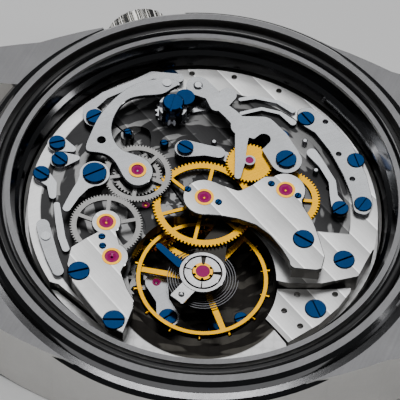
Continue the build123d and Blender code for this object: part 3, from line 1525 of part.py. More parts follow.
threaded_hole_share = (-0.608, 0.345)


def make_coupling_lever():
    """The polished crescent lever that carries the coupling wheel's jewel."""
    body = raised(smooth_outline(spread(coupling_lever_shares)), coupling_low, coupling_top)
    body = broken_edge(body, lever_bevel)
    body = body - disc(jewel_r * 0.9 + chaton_w, coupling_low - overrun, coupling_top + overrun, coupling_at)
    body = body - disc(post_r + pivot_gap, coupling_low - overrun, coupling_top + overrun, coupling_pivot)
    return body - disc(hole_r * 1.5, coupling_low - overrun, coupling_top + overrun, at(threaded_hole_share))


def make_coupling_chaton():
    return ring(jewel_r * 0.9 + chaton_w, jewel_r * 0.9, coupling_low, coupling_top + chaton_floor, coupling_at)


def make_coupling_jewel():
    return jewel(coupling_at, coupling_top - jewel_t, coupling_top - chaton_floor / 2, jewel_r * 0.9)


operating_shares = [(-0.665, 0.531, 0.062), (-0.708, 0.593, 0.032), (-0.623, 0.698, 0.025),
                    (-0.485, 0.786, 0.022), (-0.36, 0.875, 0.026), (-0.205, 0.87, 0.03)]
reset_shares = [(-0.131, 0.352, 0.059), (-0.018, 0.352, 0.037), (0.062, 0.342, 0.036)]
reset_end_shares = [(0.062, 0.342, 0.036), (0.1, 0.337, 0.03), (0.15, 0.292, 0.022)]
brake_shares = [(-0.878, -0.220, 0.036), (-0.853, -0.294, 0.038), (-0.805, -0.418, 0.034),
                (-0.76, -0.51, 0.03)]
cock_hook_shares = [(-0.089, 0.790, 0.068), (-0.006, 0.74, 0.045), (0.029, 0.66, 0.04)]
intermediate_cock_shares = [(0.087, 0.741, 0.051), (0.053, 0.657, 0.034), (0.114, 0.605, 0.039),
                            (0.188, 0.527, 0.045), (0.184, 0.391, 0.034), (0.185, 0.272, 0.028),
                            (0.178, 0.175, 0.018)]
cock_lobe_shares = [(0.188, 0.527, 0.07), (0.3, 0.521, 0.084), (0.37, 0.44, 0.09), (0.444, 0.315, 0.09)]
kidney_shares = [(0.312, 0.447, 0.039), (0.262, 0.385, 0.044), (0.276, 0.255, 0.046)]
jewel_eye_w = 0.16
cock_post_r = 0.5


def make_operating_lever():
    body = lever(strokes_at(operating_shares), operating_low, operating_low + lever_t)
    return body - disc(post_r + pivot_gap, operating_low - overrun, operating_low + overrun, operating_pivot)


def make_reset_hammer():
    body = lever(strokes_at(reset_shares), reset_low, reset_top)
    body = body + lever(strokes_at(reset_end_shares), reset_low, reset_low + lever_t)
    return body - disc(post_r + pivot_gap, reset_low - overrun, reset_top + overrun, reset_pivot)


def make_brake_lever():
    body = lever(strokes_at(brake_shares), brake_low, brake_low + lever_t)
    return body - disc(post_r + pivot_gap, brake_low - overrun, brake_low + overrun, brake_pivot)


def make_intermediate_cock():
    """The polished cock over the intermediate wheel, open in a kidney shape."""
    face = lever_face(strokes_at(intermediate_cock_shares)) + lever_face(strokes_at(cock_lobe_shares))
    face = face + lever_face(strokes_at(cock_hook_shares))
    face = face - lever_face(strokes_at(kidney_shares))
    face = face + Pos(*intermediate_at) * Circle(small_jewel_r + jewel_eye_w)
    body = raised(face, cock_low, cock_top)
    body = body - disc(small_jewel_r, cock_top - jewel_t, cock_top + overrun, intermediate_at)
    body = body + disc(stud_r, recorder_wheel_z, cock_top - jewel_t, intermediate_at)
    body = body - disc(thin_post_r, cock_low - overrun, cock_top + overrun, intermediate_screw_at)
    body = body - disc(hook_post_r, cock_low - overrun, cock_top + overrun, hook_post_at)
    return body + disc(cock_post_r, bridge_top, cock_low, at(intermediate_cock_shares[0]))


def make_column_wheel():
    """Six columns over a ratchet-toothed base."""
    base = tooth_outline(18, column_r, tooth_share=0.4, height_share=0.5)
    body = wheel(base, column_low, column_at, wheel_t * 2)
    column_low_end = column_low + wheel_t * 2
    columns = Circle(column_r * 0.85) - Circle(column_r * 0.5)
    for i in range(3):
        columns = columns - Rot(0, 0, i * 60) * Rectangle(4 * column_r, column_r * 0.42)
    body = body + wheel(columns, column_low_end, column_at, column_h - wheel_t * 2)
    return body - disc(post_r + pivot_gap, column_low - overrun, bridge_top + 3 * overrun, column_at)


spring_blade_shares = {
    "left": [(-0.816, -0.077, 0.017), (-0.79, -0.19, 0.02), (-0.765, -0.29, 0.02), (-0.735, -0.36, 0.02)],
    "collar": [(-0.624, 0.117, 0.076), (-0.677, 0.041, 0.039), (-0.719, -0.038, 0.028), (-0.754, -0.129, 0.022)],
    "upper_left": [(-0.860, 0.340, 0.055), (-0.77, 0.31, 0.02)],
    "middle_left": [(-0.833, 0.228, 0.055), (-0.74, 0.25, 0.018)],
    "lower_left": [(-0.925, 0.120, 0.045), (-0.86, 0.06, 0.028), (-0.845, -0.02, 0.02)],
    "jumper": [(0.764, 0.044, 0.045), (0.727, 0.128, 0.022), (0.715, 0.229, 0.02), (0.653, 0.337, 0.02),
               (0.593, 0.416, 0.03)],
    "long": [(0.175, 0.665, 0.011), (0.29, 0.71, 0.011), (0.4, 0.69, 0.011), (0.475, 0.63, 0.02)],
    "upper_long": [(0.165, 0.765, 0.012), (0.25, 0.79, 0.012), (0.38, 0.77, 0.012), (0.47, 0.72, 0.02)],
    "column": [(-0.03, 0.70, 0.035), (-0.08, 0.67, 0.018), (-0.106, 0.653, 0.011)],
}
collar_r = 1.3
jumper_foot_r = 0.6
spring_levels = {"collar": 0.96, "jumper": 0.18}


def make_lever_springs():
    """Blade springs and jumpers, each screwed or pinned to the bridges."""
    group = []
    for name, shares in spring_blade_shares.items():
        low = bridge_top + spring_levels.get(name, 0)
        high = low + lever_t
        if name in ("upper_left", "middle_left", "lower_left"):
            high = left_plate_top
        body = lever(strokes_at(shares), low, high)
        if name == "jumper":
            body = body + disc(jumper_foot_r, bridge_top, low, at(shares[0]))
        if name == "collar":
            high = cock_top - flush_depth
            body = lever(strokes_at(shares), cock_low, high) + disc(collar_r, cock_low, high, collar_at)
            body = body + disc(2 * post_r - side_gap, bridge_top, cock_low, collar_at)
        group.append(body - spring_bores())
    return Compound(children=group)


def spring_bores():
    cut = disc(post_r, bridge_top - overrun, bridge_top + 3 * overrun, collar_at)
    for share in left_screw_shares + jumper_screw_shares:
        cut = cut + disc(medium_head_r * shank_share + screw_gap, bridge_top - overrun,
                         bridge_top + 3 * overrun, at(share))
    return cut


hook_post_rise = 0.18
pin_shares = [(0.03, 0.44), (0.62, 0.30), (0.55, 0.50)]


def make_steel_pins():
    """Steel pins, riveted posts and stops standing on the bridges."""
    group = [riveted_post(coupling_pivot, coupling_low, coupling_top),
             riveted_post(brake_pivot, brake_low, brake_low + lever_t)]
    for share in pin_shares:
        body = disc(pin_r, bridge_top, bridge_top + 1.6 * lever_t, at(share))
        group.append(chamfer(body.edges().sort_by(Axis.Z)[-1], pin_r / 3))
    body = disc(hook_post_r, bridge_top, cock_top + hook_post_rise, hook_post_at)
    group.append(chamfer(body.edges().sort_by(Axis.Z)[-1], hook_post_r / 4))
    return Compound(children=group)


NODES = {
    "case_middle": make_case_middle,
    "case_gasket": make_case_gasket,
    "crown_tube": make_crown_tube,
    "winding_crown": make_crown,
    "crown_gasket": make_crown_gasket,
    "winding_stem": make_stem,
    "winding_pinion": make_winding_pinion,
    "sliding_pinion": make_sliding_pinion,
    "setting_lever": make_setting_lever,
    "yoke": make_yoke,
    "setting_bridge": make_setting_bridge,
    "mainplate": make_mainplate,
    "barrel_bridge": make_barrel_bridge,
    "train_bridge": make_train_bridge,
    "upper_train_bridge": make_upper_train_bridge,
    "lower_bridge": make_lower_bridge,
    "chronograph_bridge": make_chronograph_bridge,
    "recorder_plate": make_recorder_plate,
    "pallet_bridge": make_pallet_bridge,
    "balance_cock": make_balance_cock,
    "intermediate_cock": make_intermediate_cock,
    "large_screws": make_large_screws,
    "lever_screws": make_lever_screws,
    "small_screws": make_small_screws,
    "gold_chatons": make_chatons,
    "jewels": make_jewels,
    "regulator": make_regulator,
    "balance_wheel": make_balance_wheel,
    "timing_screws": make_timing_screws,
    "balance_staff": make_balance_staff,
    "hairspring": make_hairspring,
    "hairspring_stud": make_hairspring_stud,
    "escape_wheel": make_escape_wheel,
    "pallet_fork": make_pallet_fork,
    "barrel_drum": make_barrel_drum,
    "mainspring": make_mainspring,
    "ratchet_wheel": make_ratchet_wheel,
    "crown_wheel": make_crown_wheel,
    "crown_wheel_core": make_crown_wheel_core,
    "click": make_click,
    "centre_wheel": make_centre_wheel,
    "third_wheel": make_third_wheel,
    "fourth_wheel": make_fourth_wheel,
    "cannon_pinion": make_cannon_pinion,
    "minute_wheel": make_minute_wheel,
    "hour_wheel": make_hour_wheel,
    "driving_wheel": make_driving_wheel,
    "coupling_wheel": make_coupling_wheel,
    "coupling_lever": make_coupling_lever,
    "coupling_chaton": make_coupling_chaton,
    "coupling_jewel": make_coupling_jewel,
    "chronograph_wheel": make_chronograph_wheel,
    "intermediate_wheel": make_intermediate_wheel,
    "minute_recorder_wheel": make_recorder_wheel,
    "operating_lever": make_operating_lever,
    "reset_hammer": make_reset_hammer,
    "brake_lever": make_brake_lever,
    "column_wheel": make_column_wheel,
    "lever_springs": make_lever_springs,
    "steel_pins": make_steel_pins,
}

os.makedirs("parts", exist_ok=True)
for node, make in NODES.items():
    export_step(make(), f"parts/{node}.step")
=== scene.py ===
# %% [markdown]
# # A chronograph watch movement, seen from the back of its open case
#
# The object is a hand-wound movement lying in its steel case middle with the back taken off. Its
# solids were built with their real sizes and arrive here as a fixed frame. Blender gives them their
# finishes: striped bridges, grained levers, blued screws, gilded wheels and polished rubies. A few
# pieces that are too fine for the frame are modelled here and put in the same place.

# %% Load the frame
import math

import bmesh
import bpy
from mathutils import Matrix, Vector


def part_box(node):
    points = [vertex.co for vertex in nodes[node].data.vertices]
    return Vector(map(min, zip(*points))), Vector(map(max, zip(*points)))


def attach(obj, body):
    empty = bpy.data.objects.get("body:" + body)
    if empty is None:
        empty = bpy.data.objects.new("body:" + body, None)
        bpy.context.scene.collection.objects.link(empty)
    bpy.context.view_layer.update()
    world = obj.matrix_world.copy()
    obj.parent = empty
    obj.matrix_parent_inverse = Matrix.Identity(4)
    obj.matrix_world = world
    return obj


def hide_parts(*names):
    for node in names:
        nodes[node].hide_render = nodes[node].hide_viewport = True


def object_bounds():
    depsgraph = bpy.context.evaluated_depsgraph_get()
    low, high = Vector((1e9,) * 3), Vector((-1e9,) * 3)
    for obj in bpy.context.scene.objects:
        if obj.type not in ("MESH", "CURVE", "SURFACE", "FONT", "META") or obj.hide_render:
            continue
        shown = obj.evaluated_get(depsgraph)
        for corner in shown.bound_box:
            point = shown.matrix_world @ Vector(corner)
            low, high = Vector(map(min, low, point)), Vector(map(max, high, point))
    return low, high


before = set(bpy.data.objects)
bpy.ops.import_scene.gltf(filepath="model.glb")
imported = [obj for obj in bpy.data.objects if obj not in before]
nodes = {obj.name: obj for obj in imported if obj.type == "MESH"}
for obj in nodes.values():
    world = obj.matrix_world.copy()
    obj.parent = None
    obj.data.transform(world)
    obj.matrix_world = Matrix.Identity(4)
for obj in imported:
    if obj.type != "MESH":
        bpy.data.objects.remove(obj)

frame_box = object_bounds()
MM = 0.001
print("frame pieces:", len(nodes))

# %% [markdown]
# ## The camera and the studio
#
# The movement is looked at from the front and above, with a long lens that hardly narrows the far
# side. The picture is turned a few degrees, as a hand-held camera would be. The camera could be
# aimed with a tracking constraint, but three written vectors say exactly where it stands.

# %% The camera
TARGET = Vector((-0.349, 0.736, 4.0)) * MM
CAMERA_DISTANCE = 165 * MM
CAMERA_HEIGHT = math.radians(55.74)
CAMERA_ROLL = math.radians(4.78)
LENS = 170.5

back = Vector((0, -math.cos(CAMERA_HEIGHT), math.sin(CAMERA_HEIGHT)))
right = Vector((1, 0, 0))
up = back.cross(right)
rolled_right = right * math.cos(CAMERA_ROLL) + up * math.sin(CAMERA_ROLL)
rolled_up = up * math.cos(CAMERA_ROLL) - right * math.sin(CAMERA_ROLL)
camera = bpy.data.objects.new("camera", bpy.data.cameras.new("camera"))
camera.data.lens = LENS
camera.data.clip_start = 0.01
camera.data.clip_end = 10
turn = Matrix((rolled_right, rolled_up, back)).transposed().to_4x4()
camera.matrix_world = Matrix.Translation(TARGET + back * CAMERA_DISTANCE) @ turn
bpy.context.scene.collection.objects.link(camera)
bpy.context.scene.camera = camera
print("camera at", [round(c, 3) for c in camera.matrix_world.translation])

# %% [markdown]
# Polished metal shows what stands round it, so the lamps are large soft panels. The biggest stands
# behind the object, where the flat tops send the camera's view: it makes them light, while walls and
# bevels look into the darker room and draw every outline.

# %% The lamps and the room
def soft_panel(name, azimuth, height, distance, size, watts, tint=(1, 1, 1)):
    """A rectangular lamp that looks at the object from a compass direction and a height."""
    lamp = bpy.data.lights.new(name, "AREA")
    lamp.shape = "RECTANGLE"
    lamp.size, lamp.size_y = size
    lamp.energy = watts
    lamp.color = tint
    panel = bpy.data.objects.new(name, lamp)
    a, h = math.radians(azimuth), math.radians(height)
    towards = Vector((math.sin(a) * math.cos(h), math.cos(a) * math.cos(h), math.sin(h)))
    panel.location = TARGET + towards * distance
    panel.rotation_mode = "QUATERNION"
    panel.rotation_quaternion = towards.to_track_quat("Z", "Y")
    bpy.context.scene.collection.objects.link(panel)
    return panel


soft_panel("lamp_back", 2, 57, 0.50, (0.34, 0.22), 0.50)
soft_panel("lamp_left", -75, 35, 0.45, (0.12, 0.25), 0.45)
soft_panel("lamp_right", 95, 30, 0.50, (0.08, 0.30), 0.3)
soft_panel("lamp_front", 180, 60, 0.55, (0.30, 0.10), 0.2)
soft_panel("lamp_table", 180, 80, 0.60, (0.40, 0.10), 1.3)

room = bpy.data.worlds.new("room")
room.use_nodes = True
room.node_tree.nodes["Background"].inputs["Color"].default_value = (0.75, 0.78, 0.82, 1)
room.node_tree.nodes["Background"].inputs["Strength"].default_value = 0.06
bpy.context.scene.world = room

# %% [markdown]
# ## Small tools for building finishes
#
# A finish is a material made of nodes. These few helpers add a node, set its values and wire it, so
# that each finish below reads like a recipe.

# %% Node helpers
def put(tree, kind, settings=None, **values):
    """Adds a node, with its own settings, and sets or links its inputs by name."""
    made = tree.nodes.new("ShaderNode" + kind)
    for setting, choice in (settings or {}).items():
        setattr(made, setting, choice)
    for name, value in values.items():
        wire(tree, value, made.inputs[name.replace("_", " ")])
    return made


def wire(tree, value, socket):
    """Puts a number, a vector or another node's output into a socket."""
    if isinstance(value, bpy.types.NodeSocket):
        tree.links.new(value, socket)
    else:
        socket.default_value = value


def calc(tree, operation, a, b=0.0, c=0.0, clamp=False):
    """One step of arithmetic. Returns its output."""
    step = tree.nodes.new("ShaderNodeMath")
    step.operation = operation
    step.use_clamp = clamp
    for socket, value in zip(step.inputs, (a, b, c)):
        wire(tree, value, socket)
    return step.outputs[0]


def remap(tree, value, low, high, to_low=0.0, to_high=1.0, smooth=True):
    """Moves a value from one range to another and holds it there."""
    kind = "SMOOTHSTEP" if smooth else "LINEAR"
    step = put(tree, "MapRange", {"interpolation_type": kind})
    step.clamp = not smooth or step.clamp
    for name, number in (("Value", value), ("From Min", low), ("From Max", high),
                         ("To Min", to_low), ("To Max", to_high)):
        wire(tree, number, step.inputs[name])
    return step.outputs["Result"]


def blend_colours(tree, share, first, second, mode="MIX"):
    """Mixes two colours by a share. Returns the colour."""
    step = put(tree, "Mix", {"data_type": "RGBA", "blend_type": mode})
    wire(tree, share, step.inputs["Factor"])
    wire(tree, first, step.inputs[6])
    wire(tree, second, step.inputs[7])
    return step.outputs[2]


def new_group(name, inputs, outputs):
    """An empty shader group with named sockets. Returns its tree, input node and output node."""
    tree = bpy.data.node_groups.new(name, "ShaderNodeTree")
    for label, kind, value in inputs:
        socket = tree.interface.new_socket(label, in_out="INPUT", socket_type="NodeSocket" + kind)
        if value is not None:
            socket.default_value = value
    for label, kind in outputs:
        tree.interface.new_socket(label, in_out="OUTPUT", socket_type="NodeSocket" + kind)
    return tree, tree.nodes.new("NodeGroupInput"), tree.nodes.new("NodeGroupOutput")


def use_group(tree, group, **values):
    """Places a group in a material and sets or links its inputs by name."""
    made = tree.nodes.new("ShaderNodeGroup")
    made.node_tree = group
    for name, value in values.items():
        wire(tree, value, made.inputs[name.replace("_", " ")])
    return made


print("helpers ready")

# %% [markdown]
# ## Effects that several finishes share
#
# Watch parts are finished by hand with a few strokes that come back everywhere: straight grain, fine
# turned rings, broad stripes and overlapping pearls. Each is one group. It could be painted as a
# picture, but worked out from the place on the part it stays sharp from any distance.

# %% Straight grain
def make_straight_grain():
    """Fine parallel brush lines. Fineness is lines per metre."""
    tree, given, out = new_group(
        "straight_grain",
        [("Vector", "Vector", None), ("Turn", "Float", 0.0), ("Fineness", "Float", 9000.0)],
        [("Value", "Float")])
    turned = put(tree, "VectorRotate", {"rotation_type": "Z_AXIS"},
                 Vector=given.outputs["Vector"], Angle=given.outputs["Turn"])
    stretched = put(tree, "VectorMath", {"operation": "MULTIPLY"})
    wire(tree, turned.outputs["Vector"], stretched.inputs[0])
    stretched.inputs[1].default_value = (1.0, 0.02, 0.3)
    noise = put(tree, "TexNoise", Vector=stretched.outputs[0], Scale=given.outputs["Fineness"],
                Detail=3.0, Roughness=0.6)
    wire(tree, noise.outputs["Fac"], out.inputs["Value"])
    return tree


STRAIGHT_GRAIN = make_straight_grain()

# %% Turned rings
def make_turned_rings():
    """Fine rings round a centre, as a lathe or a snailing wheel leaves them."""
    tree, given, out = new_group(
        "turned_rings",
        [("Vector", "Vector", None), ("Centre", "Vector", None), ("Fineness", "Float", 9000.0)],
        [("Value", "Float"), ("Radius", "Float")])
    from_centre = put(tree, "VectorMath", {"operation": "SUBTRACT"})
    wire(tree, given.outputs["Vector"], from_centre.inputs[0])
    wire(tree, given.outputs["Centre"], from_centre.inputs[1])
    flat = put(tree, "VectorMath", {"operation": "MULTIPLY"})
    wire(tree, from_centre.outputs[0], flat.inputs[0])
    flat.inputs[1].default_value = (1, 1, 0)
    radius = put(tree, "VectorMath", {"operation": "LENGTH"})
    wire(tree, flat.outputs[0], radius.inputs[0])
    noise = put(tree, "TexNoise", {"noise_dimensions": "1D"}, Scale=given.outputs["Fineness"],
                Detail=3.0, Roughness=0.65)
    wire(tree, radius.outputs["Value"], noise.inputs["W"])
    wire(tree, noise.outputs["Fac"], out.inputs["Value"])
    wire(tree, radius.outputs["Value"], out.inputs["Radius"])
    return tree


TURNED_RINGS = make_turned_rings()

# %% Broad stripes
def make_broad_stripes():
    """Parallel waves pressed into a bridge: Shade is painted shade that darkens across each wave, Line
    a painted highlight at its edge, and Height the wave's relief.
    """
    tree, given, out = new_group(
        "broad_stripes",
        [("Vector", "Vector", None), ("Turn", "Float", 0.0), ("Pitch", "Float", 0.0024)],
        [("Shade", "Float"), ("Height", "Float"), ("Line", "Float")])
    turned = put(tree, "VectorRotate", {"rotation_type": "Z_AXIS"},
                 Vector=given.outputs["Vector"], Angle=given.outputs["Turn"])
    apart = put(tree, "SeparateXYZ", Vector=turned.outputs["Vector"])
    across = calc(tree, "DIVIDE", apart.outputs["X"], given.outputs["Pitch"])
    place = calc(tree, "FRACT", across)
    centred = calc(tree, "SUBTRACT", place, 0.5)
    wave = calc(tree, "MULTIPLY", centred, centred)
    line = remap(tree, place, 0.10, 0.0)
    wire(tree, place, out.inputs["Shade"])
    wire(tree, calc(tree, "SUBTRACT", 0.25, wave), out.inputs["Height"])
    wire(tree, line, out.inputs["Line"])
    return tree


BROAD_STRIPES = make_broad_stripes()

# %% Overlapping pearls
def make_pearls():
    """A grid of small round spots with turned rings inside, ground one after another."""
    tree, given, out = new_group(
        "pearls", [("Vector", "Vector", None), ("Pitch", "Float", 0.0009)], [("Value", "Float")])
    scale = calc(tree, "DIVIDE", 1.0, given.outputs["Pitch"])
    flat = put(tree, "VectorMath", {"operation": "MULTIPLY"})
    wire(tree, given.outputs["Vector"], flat.inputs[0])
    flat.inputs[1].default_value = (1, 1, 0)
    cells = put(tree, "TexVoronoi", {"voronoi_dimensions": "2D"}, Vector=flat.outputs[0],
                Scale=scale, Randomness=0.08)
    ripple = calc(tree, "SINE", calc(tree, "MULTIPLY", cells.outputs["Distance"], 46.0))
    spot = remap(tree, cells.outputs["Distance"], 0.2, 0.72, 1.0, 0.0)
    wire(tree, calc(tree, "MULTIPLY_ADD", ripple, 0.18, spot), out.inputs["Value"])
    return tree


PEARLS = make_pearls()

# %% [markdown]
# A part is never one flat tone. Its flat top is satined and its bevels are polished. Its walls get a
# colour of their own that paints in their light and shade: painted shade, darker than the top, on most
# parts, and on the case a painted light, lighter than the top. The next effect tells these apart by how
# much a face looks up, and adds faint clouds of wear.

# %% Tops, bevels and walls
def make_faces():
    """Masks for flat tops, sloping bevels and upright walls."""
    tree, given, out = new_group("faces", [], [("Top", "Float"), ("Bevel", "Float"), ("Wall", "Float")])
    looking = put(tree, "NewGeometry")
    apart = put(tree, "SeparateXYZ", Vector=looking.outputs["Normal"])
    lift = calc(tree, "ABSOLUTE", apart.outputs["Z"])
    top = remap(tree, lift, 0.88, 0.97)
    painted_wall = remap(tree, lift, 0.35, 0.15)
    bevel = calc(tree, "SUBTRACT", calc(tree, "SUBTRACT", 1.0, top), painted_wall, clamp=True)
    wire(tree, top, out.inputs["Top"])
    wire(tree, bevel, out.inputs["Bevel"])
    wire(tree, painted_wall, out.inputs["Wall"])
    return tree


FACES = make_faces()

# %% Faint clouds of wear
def make_wear():
    """Slow clouds and fine specks that shift a colour and a roughness a little."""
    tree, given, out = new_group(
        "wear",
        [("Vector", "Vector", None), ("Colour", "Color", (1, 1, 1, 1)), ("Roughness", "Float", 0.3),
         ("Amount", "Float", 0.15)],
        [("Colour", "Color"), ("Roughness", "Float"), ("Cloud", "Float")])
    cloud = put(tree, "TexNoise", Vector=given.outputs["Vector"], Scale=420.0, Detail=4.0)
    speck = put(tree, "TexNoise", Vector=given.outputs["Vector"], Scale=5200.0, Detail=2.0)
    both = calc(tree, "MULTIPLY_ADD", speck.outputs["Fac"], 0.4,
                calc(tree, "MULTIPLY", cloud.outputs["Fac"], 0.6))
    swing = calc(tree, "MULTIPLY", calc(tree, "SUBTRACT", both, 0.5), given.outputs["Amount"])
    gain = calc(tree, "ADD", 1.0, calc(tree, "MULTIPLY", swing, 2.0))
    grey = put(tree, "CombineColor", Red=gain, Green=gain, Blue=gain)
    shaded = blend_colours(tree, 1.0, given.outputs["Colour"], grey.outputs["Color"], "MULTIPLY")
    wire(tree, shaded, out.inputs["Colour"])
    wire(tree, calc(tree, "SUBTRACT", given.outputs["Roughness"], swing), out.inputs["Roughness"])
    wire(tree, cloud.outputs["Fac"], out.inputs["Cloud"])
    return tree


WEAR = make_wear()
print("shared effects:", [g.name for g in bpy.data.node_groups])

# %% [markdown]
# Some ground lies deep under the levers and wheels and hardly gets any light, and its shade is painted
# into its colour. The next effect marks such ground by its place: inside a circle, above or beside a
# straight line, and below a level. It could be a painted mask, but three written limits follow the part
# exactly.

# %% Arcs in the ground
def make_arcs():
    """Long narrow marks that follow the rim, with crisp edges, that split the painted shade on deep
    ground into darker and lighter patches.
    """
    tree, given, out = new_group(
        "arcs", [("Vector", "Vector", None), ("Fineness", "Float", 700.0)], [("Value", "Float")])
    apart = put(tree, "SeparateXYZ", Vector=given.outputs["Vector"])
    angle = calc(tree, "ARCTAN2", apart.outputs["Y"], apart.outputs["X"])
    rings = use_group(tree, TURNED_RINGS, Vector=given.outputs["Vector"])
    bent = put(tree, "CombineXYZ", X=calc(tree, "MULTIPLY", rings.outputs["Radius"],
                                          given.outputs["Fineness"]),
               Y=calc(tree, "MULTIPLY", angle, 2.2))
    marks = put(tree, "TexNoise", Vector=bent.outputs["Vector"], Scale=1.0, Detail=2.0)
    wire(tree, remap(tree, marks.outputs["Fac"], 0.52, 0.56), out.inputs["Value"])
    return tree


ARCS = make_arcs()

# %% Ground in the shade
def make_painted_shade_ground():
    """One inside a circle, past a line across Y and below a level, and nought elsewhere: the ground
    that gets painted shade.
    """
    tree, given, out = new_group(
        "painted_shade_ground",
        [("Vector", "Vector", None), ("Centre", "Vector", None), ("Reach", "Float", 0.0129),
         ("Line", "Float", -1.0), ("Level", "Float", 1.0)],
        [("Mask", "Float")])
    apart = put(tree, "SeparateXYZ", Vector=given.outputs["Vector"])
    rings = use_group(tree, TURNED_RINGS, Vector=given.outputs["Vector"],
                      Centre=given.outputs["Centre"])
    soft = 0.12 * MM
    room_left = calc(tree, "SUBTRACT", given.outputs["Reach"], rings.outputs["Radius"])
    inside = calc(tree, "DIVIDE", room_left, soft, clamp=True)
    past = calc(tree, "DIVIDE", calc(tree, "SUBTRACT", apart.outputs["Y"], given.outputs["Line"]),
                soft, clamp=True)
    below = calc(tree, "DIVIDE", calc(tree, "SUBTRACT", given.outputs["Level"], apart.outputs["Z"]),
                 soft, clamp=True)
    wire(tree, calc(tree, "MULTIPLY", calc(tree, "MULTIPLY", inside, past), below), out.inputs["Mask"])
    return tree


PAINTED_SHADE_GROUND = make_painted_shade_ground()

# %% [markdown]
# ## The finishes
#
# One function makes the common metal: a base colour, a wall colour that paints in the walls' shade, a
# polished bevel, wear, and one of the strokes above as grain. The special finishes start from it.

# %% The common metal
def rgb(r, g, b):
    return (r, g, b, 1.0)


def metal(name, top, painted_wall, roughness, bevel_roughness=0.12, grain="straight", turn=0.0,
          centre=(0, 0, 0), fineness=9000.0, strength=0.25, wear=0.12, stripes=0.0, pitch=0.0021,
          metallic=1.0, deep=None):
    """A metal finish with a flat top, a polished bevel and a wall whose light and shade are painted
    into its colour.
    """
    material = bpy.data.materials.new(name)
    material.use_nodes = True
    tree = material.node_tree
    shader = tree.nodes["Principled BSDF"]
    place = put(tree, "TexCoord").outputs["Object"]
    faces = use_group(tree, FACES)
    # Upright walls take their own colour: painted shade, darker than the top, and on the case a painted
    # light.
    painted_wall_mask = faces.outputs["Wall"]
    base = blend_colours(tree, painted_wall_mask, top, painted_wall)
    # Deep ground gets painted shade: a near-black colour broken by lighter patches along arcs.
    if deep:
        painted_shade_mask = use_group(tree, PAINTED_SHADE_GROUND, Vector=place, **deep["where"])
        arcs = use_group(tree, ARCS, Vector=place, Fineness=deep["patches"])
        painted_shade_colour = blend_colours(tree, arcs.outputs["Value"], deep["dark"], deep["light"])
        base = blend_colours(tree, painted_shade_mask.outputs["Mask"], base, painted_shade_colour)
    if grain == "straight":
        lines = use_group(tree, STRAIGHT_GRAIN, Vector=place, Turn=turn, Fineness=fineness)
    elif grain == "rings":
        lines = use_group(tree, TURNED_RINGS, Vector=place, Centre=centre, Fineness=fineness)
    else:
        lines = use_group(tree, PEARLS, Vector=place)
    height = lines.outputs["Value"]
    if stripes:
        # The stripes' colour is painted light and shade: each band is painted darker across and ends in
        # a painted highlight line. The Height bump is the relief.
        bands = use_group(tree, BROAD_STRIPES, Vector=place, Turn=turn, Pitch=pitch)
        dark = calc(tree, "MULTIPLY", bands.outputs["Shade"], stripes)
        painted_highlight = calc(tree, "MULTIPLY", bands.outputs["Line"], 0.35)
        gain = calc(tree, "ADD", calc(tree, "SUBTRACT", 1.0, dark), painted_highlight)
        gain = calc(tree, "ADD", calc(tree, "MULTIPLY", calc(tree, "SUBTRACT", gain, 1.0),
                                      faces.outputs["Top"]), 1.0)
        grey = put(tree, "CombineColor", Red=gain, Green=gain, Blue=gain).outputs["Color"]
        base = blend_colours(tree, 1.0, base, grey, "MULTIPLY")
        height = calc(tree, "ADD", calc(tree, "MULTIPLY", bands.outputs["Height"], 2.0),
                      calc(tree, "MULTIPLY", height, 0.5))
    tone = remap(tree, lines.outputs["Value"], 0.25, 0.75, 0.90, 1.05, smooth=False)
    grey = put(tree, "CombineColor", Red=tone, Green=tone, Blue=tone).outputs["Color"]
    base = blend_colours(tree, faces.outputs["Top"], base,
                         blend_colours(tree, 1.0, base, grey, "MULTIPLY"))
    smooth = calc(tree, "MULTIPLY_ADD", faces.outputs["Bevel"], bevel_roughness - roughness,
                  roughness)
    worn = use_group(tree, WEAR, Vector=place, Colour=base, Roughness=smooth, Amount=wear)
    bump = put(tree, "Bump", Strength=strength, Distance=4e-6, Height=height)
    wire(tree, worn.outputs["Colour"], shader.inputs["Base Color"])
    wire(tree, worn.outputs["Roughness"], shader.inputs["Roughness"])
    wire(tree, bump.outputs["Normal"], shader.inputs["Normal"])
    shader.inputs["Metallic"].default_value = metallic
    return material


# The wall colours are painted shade for upright walls, darker than the tops.
STEEL = rgb(0.38, 0.39, 0.405)
STEEL_WALL_SHADE = rgb(0.05, 0.05, 0.055)
NICKEL = rgb(0.74, 0.74, 0.74)
NICKEL_WALL_SHADE = rgb(0.05, 0.047, 0.042)
GOLD = rgb(0.74, 0.375, 0.0)
GOLD_WALL_SHADE = rgb(0.12, 0.045, 0.0)
STRIPE_TURN = math.radians(-43)
BALANCE_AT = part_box("balance_staff")[0].lerp(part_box("balance_staff")[1], 0.5)
print("balance at", [round(c / MM, 2) for c in BALANCE_AT])
LEVER_TURN = math.radians(60)

# %% [markdown]
# The plates and bridges are nickel-plated brass. The large bridges carry broad stripes that run from
# the upper left to the lower right of the picture, and the plate under them is pearled.

# %% Plates and bridges
# The stripes on these bridges carry painted shade and a painted highlight line in their colour.
striped = metal("striped_nickel", NICKEL, NICKEL_WALL_SHADE, 0.30, stripes=0.50, turn=STRIPE_TURN,
                fineness=12000.0)
